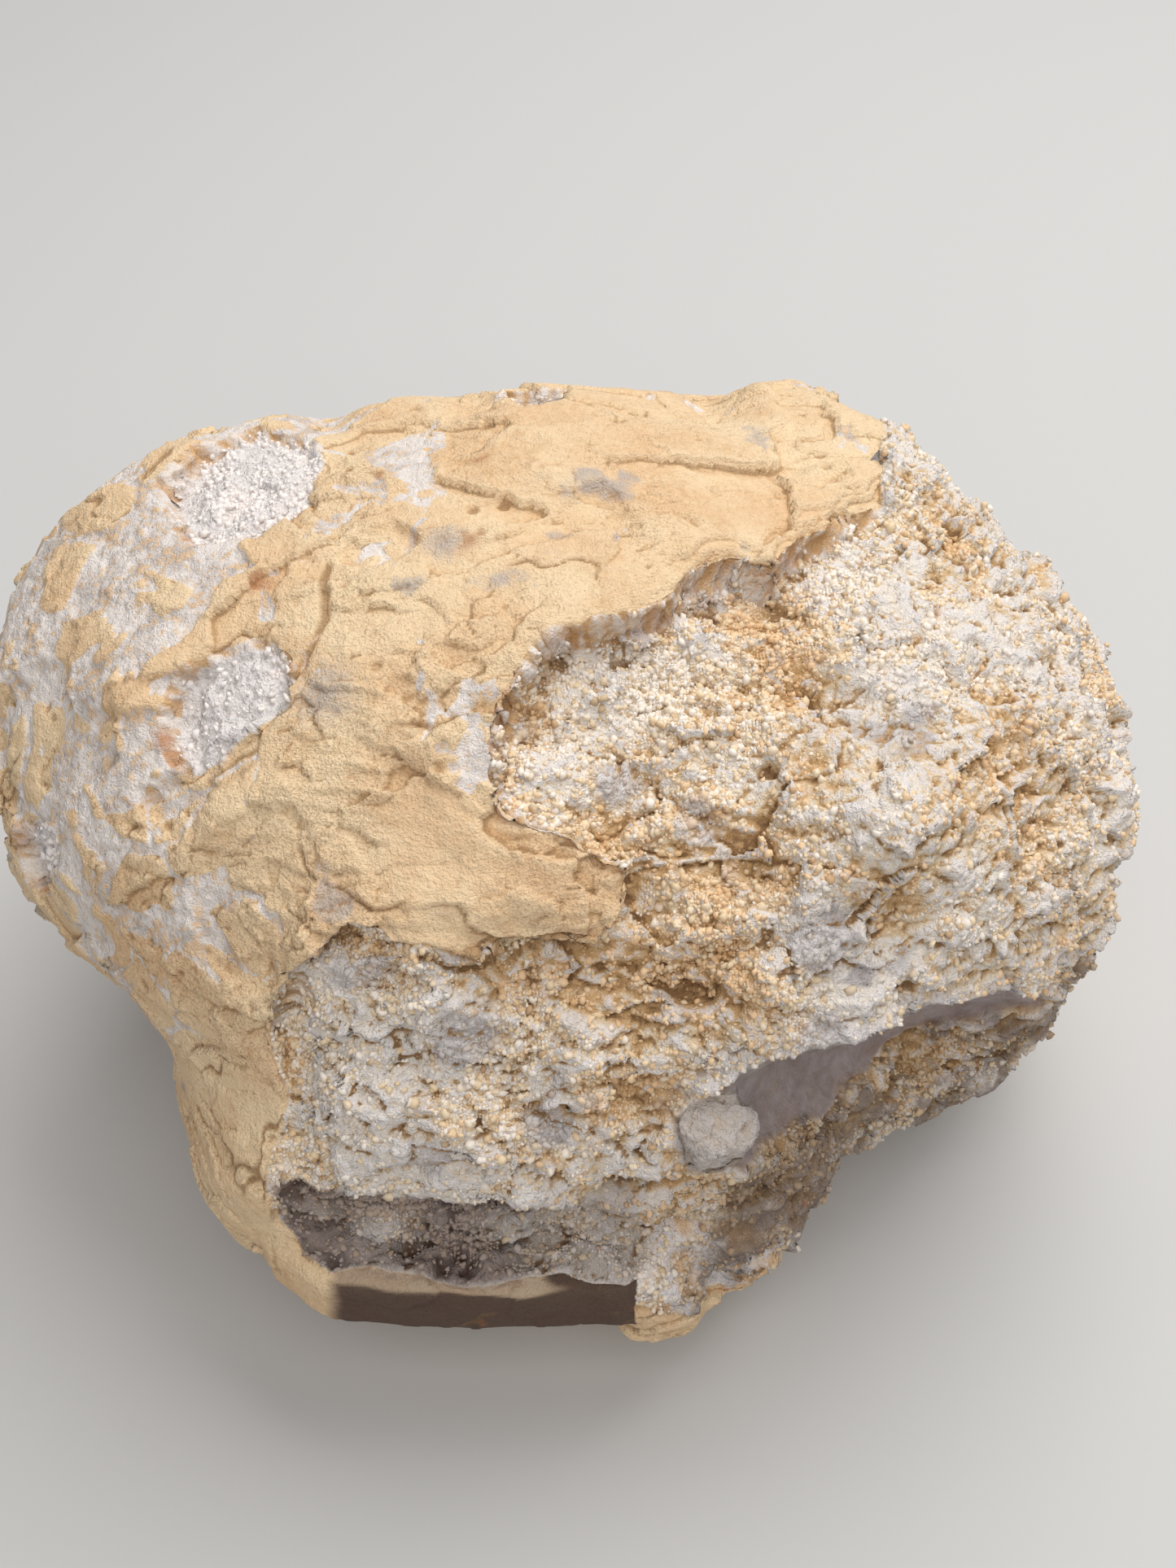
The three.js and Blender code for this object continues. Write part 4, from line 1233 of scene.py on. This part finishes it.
@dataclass(frozen=True)
class StoneFinish:
    """Finish of the whole skin: clay, white matrix, bare chalcedony and stains, with painted shade and
    painted highlight.
    """

    name: str = "weathered_stone"

    def make(self) -> bpy.types.Material:
        """Builds the material from the masks stored on the mesh."""
        paint = Paint(self.name)
        broad = paint.noise(16.0, 4.0)
        middle = paint.noise(4.2, 5.0, 0.62)
        fine = paint.noise(1.1, 4.0, 0.65)
        dust = paint.noise(0.35, 2.0, 0.7)
        bare, shelf = paint.mask("bare"), paint.mask("shelf")
        matrix = (paint.mask("matrix") + middle.sway(0.7) + fine.sway(0.6)).step(0.3, 0.7)
        streak = (paint.mask("streak") + fine.sway(0.8)).step(0.25, 0.75)
        rust = (paint.mask("rust") * (0.3 + middle * 1.2)).step(0.15, 0.9)
        colour = paint.coat(
            self.clay(paint, broad, middle, fine, dust),
            (matrix, self.matrix(paint, middle, fine)),
            ((bare + fine.sway(0.3)).step(0.3, 0.6), self.bare(paint, broad, middle, fine)),
            (paint.mask("wall").step(0.15, 0.6) * 0.8, paint.mix(streak, Tint.CLAY_DEEP, Tint.LIME)),
            (rust * 0.6, Tint.RUST),
        )
        grain = (1 - paint.cells(1.0)) * 0.6 * bare + fine * 0.7 * bare
        grain = grain + middle * 1.3 + fine * 0.7 + dust * 0.6
        paint.feed(
            paint.shader,
            Base_Color=colour,
            Roughness=0.93 - paint.mask("glass") * 0.35 - shelf * 0.45,
            Specular_IOR_Level=0.3,
            Normal=paint.bump(grain * (1 - shelf * 0.75), 0.75, 0.9),
        )
        return paint.material

    @staticmethod
    def clay(paint: Paint, broad: Socket, middle: Socket, fine: Socket, dust: Socket) -> Socket:
        """Colour of the tan clay rind, with painted shade in its hollows and creases and on the sill, and
        painted highlight on its rises.
        """
        cavity = paint.mask("cavity")
        sill = paint.mask("sill").step(0.2, 0.7)
        top = paint.mask("sill_top")
        return paint.coat(
            Tint.CLAY,
            (broad.step(0.35, 0.65), Tint.CLAY_PALE),
            (middle.step(0.52, 0.75) * 0.5, Tint.CLAY_DEEP),
            (fine.step(0.5, 0.7) * 0.5, Tint.CLAY_PALE),
            (fine.step(0.48, 0.3) * 0.35, Tint.CLAY_DEEP),
            (paint.mask("chip") * 0.35, Tint.CLAY_PALE),
            ((paint.mask("grey") * 0.9 + fine.sway(0.8)).step(0.25, 0.8) * 0.8, Tint.LIME_GREY),
            # painted shade: deeper tan in the hollows that the mesh measures; painted highlight: paler tan on
            # the rises
            (cavity.step(0.05, 0.5) * 0.55, Tint.CLAY_DEEP),
            (cavity.step(-0.05, -0.4) * 0.4, Tint.CLAY_PALE),
            # painted shade along the creases
            (paint.mask("crease").step(0.03, 0.16) * 0.5, Tint.CLAY_SHADE),
            ((dust.sway(3.0) + paint.mask("rough") * 0.4).step(0.35, 0.9) * 0.45, Tint.CLAY_SHADE),
            # painted shade on the sill: its face dark brown, and its top greyed under the lip except at its
            # left end
            (sill * (1 - top) * 0.95, Tint.CLAY_BROWN),
            (sill * top * (1 - paint.mask("sill_end")) * 0.6, Tint.RECESS_PALE),
            (paint.mask("crack") * 0.75, Tint.CLAY_SHADE),
        )

    @staticmethod
    def matrix(paint: Paint, middle: Socket, fine: Socket) -> Socket:
        """Colour of the white granular matrix between the islands of clay, with painted shade in its hollows.
        """
        return paint.coat(
            Tint.LIME,
            (middle.step(0.42, 0.7) * 0.9, Tint.LIME_GREY),
            (fine.step(0.5, 0.7) * 0.5, Tint.CREAM),
            ((middle * 0.6 + fine * 0.8).step(0.72, 0.82) * 0.75, Tint.CLAY),
            # painted shade in the matrix's hollows
            (paint.mask("cavity").step(0.1, 0.6) * 0.5, Tint.CLAY_DEEP),
        )

    @staticmethod
    def bare(paint: Paint, broad: Socket, middle: Socket, fine: Socket) -> Socket:
        """Colour of the bare chalcedony, with painted shade that makes it darker and orange in its crevices,
        dents, recess, pits, shelf and the ground under the shelf, and painted highlight on its rises and the
        shelf's rim.
        """
        honey, white, cavity, crease = (paint.mask(name) for name in ("honey", "white", "cavity", "crease"))
        speck = paint.noise(2.0, 4.0, 0.6)
        tan = honey + speck.sway(2.4) + fine.sway(0.8) + (broad - 0.5)
        glass = paint.mask("glass") * 0.8 + middle.sway(1.4) + fine.sway(0.8)
        # stain and shade are painted shade: orange-brown and darker in the hollows and creases, with the
        # stone's own tone mixed in
        stain = cavity * 0.9 + crease * 2.4 + fine.sway(0.7) + (honey - 0.45) * 0.7
        shade = cavity + crease * 1.6 + fine.sway(0.5)
        earth = paint.mask("earth") * 0.9 + middle.sway(2.2) + (broad - 0.5)
        calcite = paint.mix(paint.mask("streak").step(0.3, 0.7), Tint.CLAY, Tint.LIME_WHITE)
        shelf = paint.mix(middle.step(0.35, 0.7), Tint.SHELF, Tint.SHELF_PALE)
        recess = paint.mix((cavity + middle.sway(1.2)).step(0.25, -0.4), Tint.RECESS, Tint.RECESS_PALE)
        return paint.coat(
            Tint.WHITE,
            ((honey + speck.sway(2.2)).step(0.3, 0.7), Tint.CREAM),
            (tan.step(0.55, 0.95) * 0.7, Tint.CLAY),
            (glass.step(0.35, 0.95) * 0.7, Tint.GLASS),
            (stain.step(0.05, 0.7) * 0.85 * (1 - white * 0.85), Tint.HONEY),
            (white * 0.85, Tint.LIME_WHITE),
            # painted shade: the deepest crevices dark brown
            (shade.step(0.3, 1.05) * 0.75 * (1 - white * 0.7), Tint.PIT),
            # painted highlight: the rises whitened
            ((cavity + crease).step(0.0, -0.45) * 0.7, Tint.LIME_WHITE),
            ((paint.mask("calcite") + middle.sway(1.4)).step(0.45, 0.7), calcite),
            # painted highlight along the lit edge above the shelf
            (paint.mask("rim") * 0.8, Tint.LIME_WHITE),
            # painted shade on the ground under the shelf
            (earth.step(0.2, 0.9) * 0.8, Tint.EARTH),
            (paint.mask("block") * 0.7, Tint.LIME_GREY),
            # the shelf's grey-lavender, with painted shade
            (paint.mask("shelf") * 0.9, shelf),
            # painted shade in the recess under the lip
            (paint.mask("recess") * 0.92, recess),
            # the pits darker: their own brown, with painted shade in them
            (paint.mask("pit") * 0.5, Tint.PIT),
        )


@dataclass
class Grains:
    """Sugary grains grown on the bare chalcedony: small blunt crystals, sunk to their middles."""

    name: str
    regions: tuple
    count: int
    seed: int
    size: tuple = (0.42, 1.15)
    knobs: float = 0.5
    tilt: float = 0.3
    small_share: float = 2.8
    sunk: float = 0.06

    def build(self, skin: "SkinSample") -> bpy.types.Object:
        """Makes the grains as one joined mesh.

        Args:
            skin: places on the skin to choose from.

        Returns:
            The object, with each grain's own numbers stored as attributes.
        """
        chance = np.random.default_rng(self.seed)
        places, normals, marks = skin.choose(self.regions, self.count, chance)
        corners, faces = self.crystal()
        small, large = self.size
        size = small + (large - small) * chance.random(len(places)) ** self.small_share
        stretch = 1 + (chance.random((len(places), 3)) - 0.5) * 2 * self.tilt
        knobs = 1 + (chance.random((len(places), len(corners), 1)) - 0.5) * 2 * self.knobs
        shapes = corners[None] * knobs * stretch[:, None] * size[:, None, None] / 2
        shapes = shapes @ self.turns(len(places), chance)
        middles = places - normals * (size * self.sunk)[:, None]
        points = (middles[:, None] + shapes).reshape(-1, 3)
        count = len(corners)
        joined = (faces[None] + (np.arange(len(places)) * count)[:, None, None]).reshape(-1, 3)
        mesh = bpy.data.meshes.new(self.name)
        mesh.from_pydata((points * MM).tolist(), [], joined.tolist())
        piece = Ops.add(self.name, mesh)
        marks["grain"] = chance.random(len(places))
        Ops.mark(mesh, {name: np.repeat(values, count) for name, values in marks.items()})
        Ops.shade_smooth(mesh)
        mesh.update()
        return piece

    @staticmethod
    def crystal() -> tuple[Array, Array]:
        """Corners and faces of one blunt crystal about its middle, of radius 1."""
        bpy.ops.object.select_all(action="DESELECT")
        bpy.ops.mesh.primitive_ico_sphere_add(subdivisions=1, radius=1)
        model = bpy.context.active_object
        corners = np.array([v.co[:] for v in model.data.vertices])
        faces = np.array([p.vertices[:] for p in model.data.polygons])
        bpy.data.objects.remove(model)
        return corners, faces

    @staticmethod
    def turns(count: int, chance: np.random.Generator) -> Array:
        """Random rotation matrices, one for each grain."""
        q = chance.normal(size=(count, 4))
        w, x, y, z = (q / np.linalg.norm(q, axis=1)[:, None]).T
        rows = (
            (1 - 2 * (y * y + z * z), 2 * (x * y - z * w), 2 * (x * z + y * w)),
            (2 * (x * y + z * w), 1 - 2 * (x * x + z * z), 2 * (y * z - x * w)),
            (2 * (x * z - y * w), 2 * (y * z + x * w), 1 - 2 * (x * x + y * y)),
        )
        return np.moveaxis(np.array(rows), -1, 0)


@dataclass
class SkinSample:
    """Points of the finished skin, with what grows there."""

    points: Array
    normals: Array
    masks: dict

    def choose(self, regions: tuple, count: int, chance: np.random.Generator) -> tuple:
        """Chooses places for grains.

        Args:
            regions: the regions that they may lie in.
            count: how many.
            chance: source of random numbers.

        Returns:
            Places, normals and the skin's marks there.
        """
        order = list(Region)
        fit = np.isin(Region.owners(self.points), [order.index(region) for region in regions])
        calm = np.maximum(self.masks["shelf"], self.masks["block"])
        bare = self.masks["bare"] * (1 - calm) * (1 - 0.35 * self.masks["glass"])
        weight = np.where(fit, ease(0.4, 0.9, bare), 0)
        weight *= 0.12 + ease(-0.1, 0.35, Noise.rough(self.points, 6.0, 801, 3))
        weight *= (1 - 0.75 * self.masks["earth"]) * (1 - 0.7 * self.masks["calcite"])
        count = min(count, np.count_nonzero(weight) // 2)
        picked = chance.choice(len(weight), size=count, replace=False, p=weight / weight.sum())
        kept = ("honey", "glass", "white", "recess", "cavity", "earth")
        marks = {name: self.masks[name][picked] for name in kept}
        return self.points[picked], self.normals[picked], marks


@dataclass(frozen=True)
class GrainFinish:
    """Finish of the grains: white to cream, some tan and a few brown or glassy, with painted shade where they
    sit in hollows, in the recess and under the shelf.
    """

    name: str = "sugary_grain"

    def make(self) -> bpy.types.Material:
        """Builds the material from the numbers stored on each grain."""
        paint = Paint(self.name)
        own, cavity = paint.mask("grain"), paint.mask("cavity")
        fine = paint.noise(0.5, 2.0)
        honey = paint.mask("honey") * 0.7 + own * 0.9 + fine.sway(0.4)
        deep = cavity + paint.mask("honey") * 0.5 + own * 0.3
        colour = paint.coat(
            Tint.WHITE,
            (honey.step(0.4, 0.8), Tint.CREAM),
            (honey.step(0.85, 1.2) * 0.85, Tint.CLAY),
            # painted shade on the grains in hollows; a few grains are brown of their own
            (deep.step(0.5, 1.1) * 0.7, Tint.HONEY),
            (own.step(0.86, 1.0) * 0.5 + cavity.step(0.4, 1.2) * 0.5, Tint.PIT),
            # painted shade on the grains under the shelf
            (paint.mask("earth") * 0.7, Tint.EARTH),
            (paint.mask("glass") * 0.6, Tint.GLASS),
            (paint.mask("white") * 0.85, Tint.LIME_WHITE),
            # painted shade on the grains in the recess
            (paint.mask("recess") * 0.85, Tint.RECESS_PALE),
        )
        normal = paint.bump(fine, 0.12, 0.7)
        paint.feed(paint.shader, Base_Color=colour, Roughness=0.75, Specular_IOR_Level=0.4, Normal=normal)
        return paint.material


@dataclass
class Studio:
    """Camera, floor and lights."""

    aim: tuple = (0.0036, 0.003, 0.053)
    distance: float = 0.255
    elevation: float = 45.0
    lens: float = 40.0
    sensor: float = 36.0
    near_clip: float = 0.01
    floor_size: float = 8.0
    sky: tuple = (0.9, 0.93, 1.0, 1.0)
    sky_strength: float = 0.19
    lights: tuple = (("key", (0.28, 0.38, 0.95), 0.9, 11.0), ("front_fill", (0.1, -0.9, 1.2), 1.2, 12.5))

    def build(self) -> None:
        """Sets the scene round the stone."""
        self.add_camera()
        self.add_floor()
        for light in self.lights:
            self.add_light(*light)
        world = bpy.data.worlds.new("studio")
        world.use_nodes = True
        sky = world.node_tree.nodes["Background"].inputs
        sky["Color"].default_value = self.sky
        sky["Strength"].default_value = self.sky_strength
        bpy.context.scene.world = world
        bpy.context.scene.view_settings.view_transform = "Standard"

    def add_camera(self) -> None:
        """Adds the camera, above and in front of the stone."""
        data = bpy.data.cameras.new("camera")
        data.lens = self.lens
        data.sensor_fit = "VERTICAL"
        data.sensor_height = self.sensor
        data.sensor_width = self.sensor
        data.clip_start = self.near_clip
        camera = Ops.add("camera", data)
        slant = self.elevation * DEG
        back = Vector((0.0, -math.cos(slant), math.sin(slant)))
        camera.location = Vector(self.aim) + back * self.distance
        camera.rotation_euler = (-back).to_track_quat("-Z", "Y").to_euler()
        bpy.context.scene.camera = camera

    def add_floor(self) -> None:
        """Adds the plain pale floor."""
        bpy.ops.object.select_all(action="DESELECT")
        bpy.ops.mesh.primitive_plane_add(size=self.floor_size)
        floor = bpy.context.active_object
        floor.name = "floor"
        paint = Paint("pale_floor")
        paint.feed(paint.shader, Base_Color=Tint.FLOOR, Roughness=0.85)
        floor.data.materials.append(paint.material)

    def add_light(self, name: str, place: tuple, size: float, power: float) -> None:
        """Adds one soft square light that faces the stone."""
        data = bpy.data.lights.new(name, "AREA")
        data.size = size
        data.energy = power
        light = Ops.add(name, data)
        light.location = place
        light.rotation_euler = (Vector(self.aim) - Vector(place)).to_track_quat("-Z", "Y").to_euler()


def dress(piece: bpy.types.Object, material: bpy.types.Material) -> None:
    """Gives a piece its only material and its body, hides the CAD node, and reports it."""
    piece.data.materials.clear()
    piece.data.materials.append(material)
    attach(piece, BODY)
    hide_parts(NODE)
    piece.data.calc_loop_triangles()
    log.info("%s: %d triangles", piece.name, len(piece.data.loop_triangles))


def main() -> None:
    """Builds the stone and the studio."""
    logging.basicConfig(level=logging.INFO, format="%(message)s")
    Studio().build()
    skin = StoneSkin()
    whole = skin.build()
    Ops.shade_smooth(whole.data)
    sample = SkinSample(skin.surface.points, skin.surface.normals(), skin.masks)
    stone = StoneFinish().make()
    for piece in SkinPieces().split(whole):
        dress(piece, stone)
    grain = GrainFinish().make()
    for grains in (
        Grains("grains_east", (Region.EAST,), 9000, 11),
        Grains("grains_front", (Region.FRONT,), 9000, 12),
        Grains("grains_crown", (Region.CROWN,), 9000, 13),
        Grains("grains_far", (Region.WEST, Region.NORTH_EAST, Region.NORTH_WEST, Region.FOOT), 4000, 14),
    ):
        dress(grains.build(sample), grain)


if __name__ == "__main__":
    main()
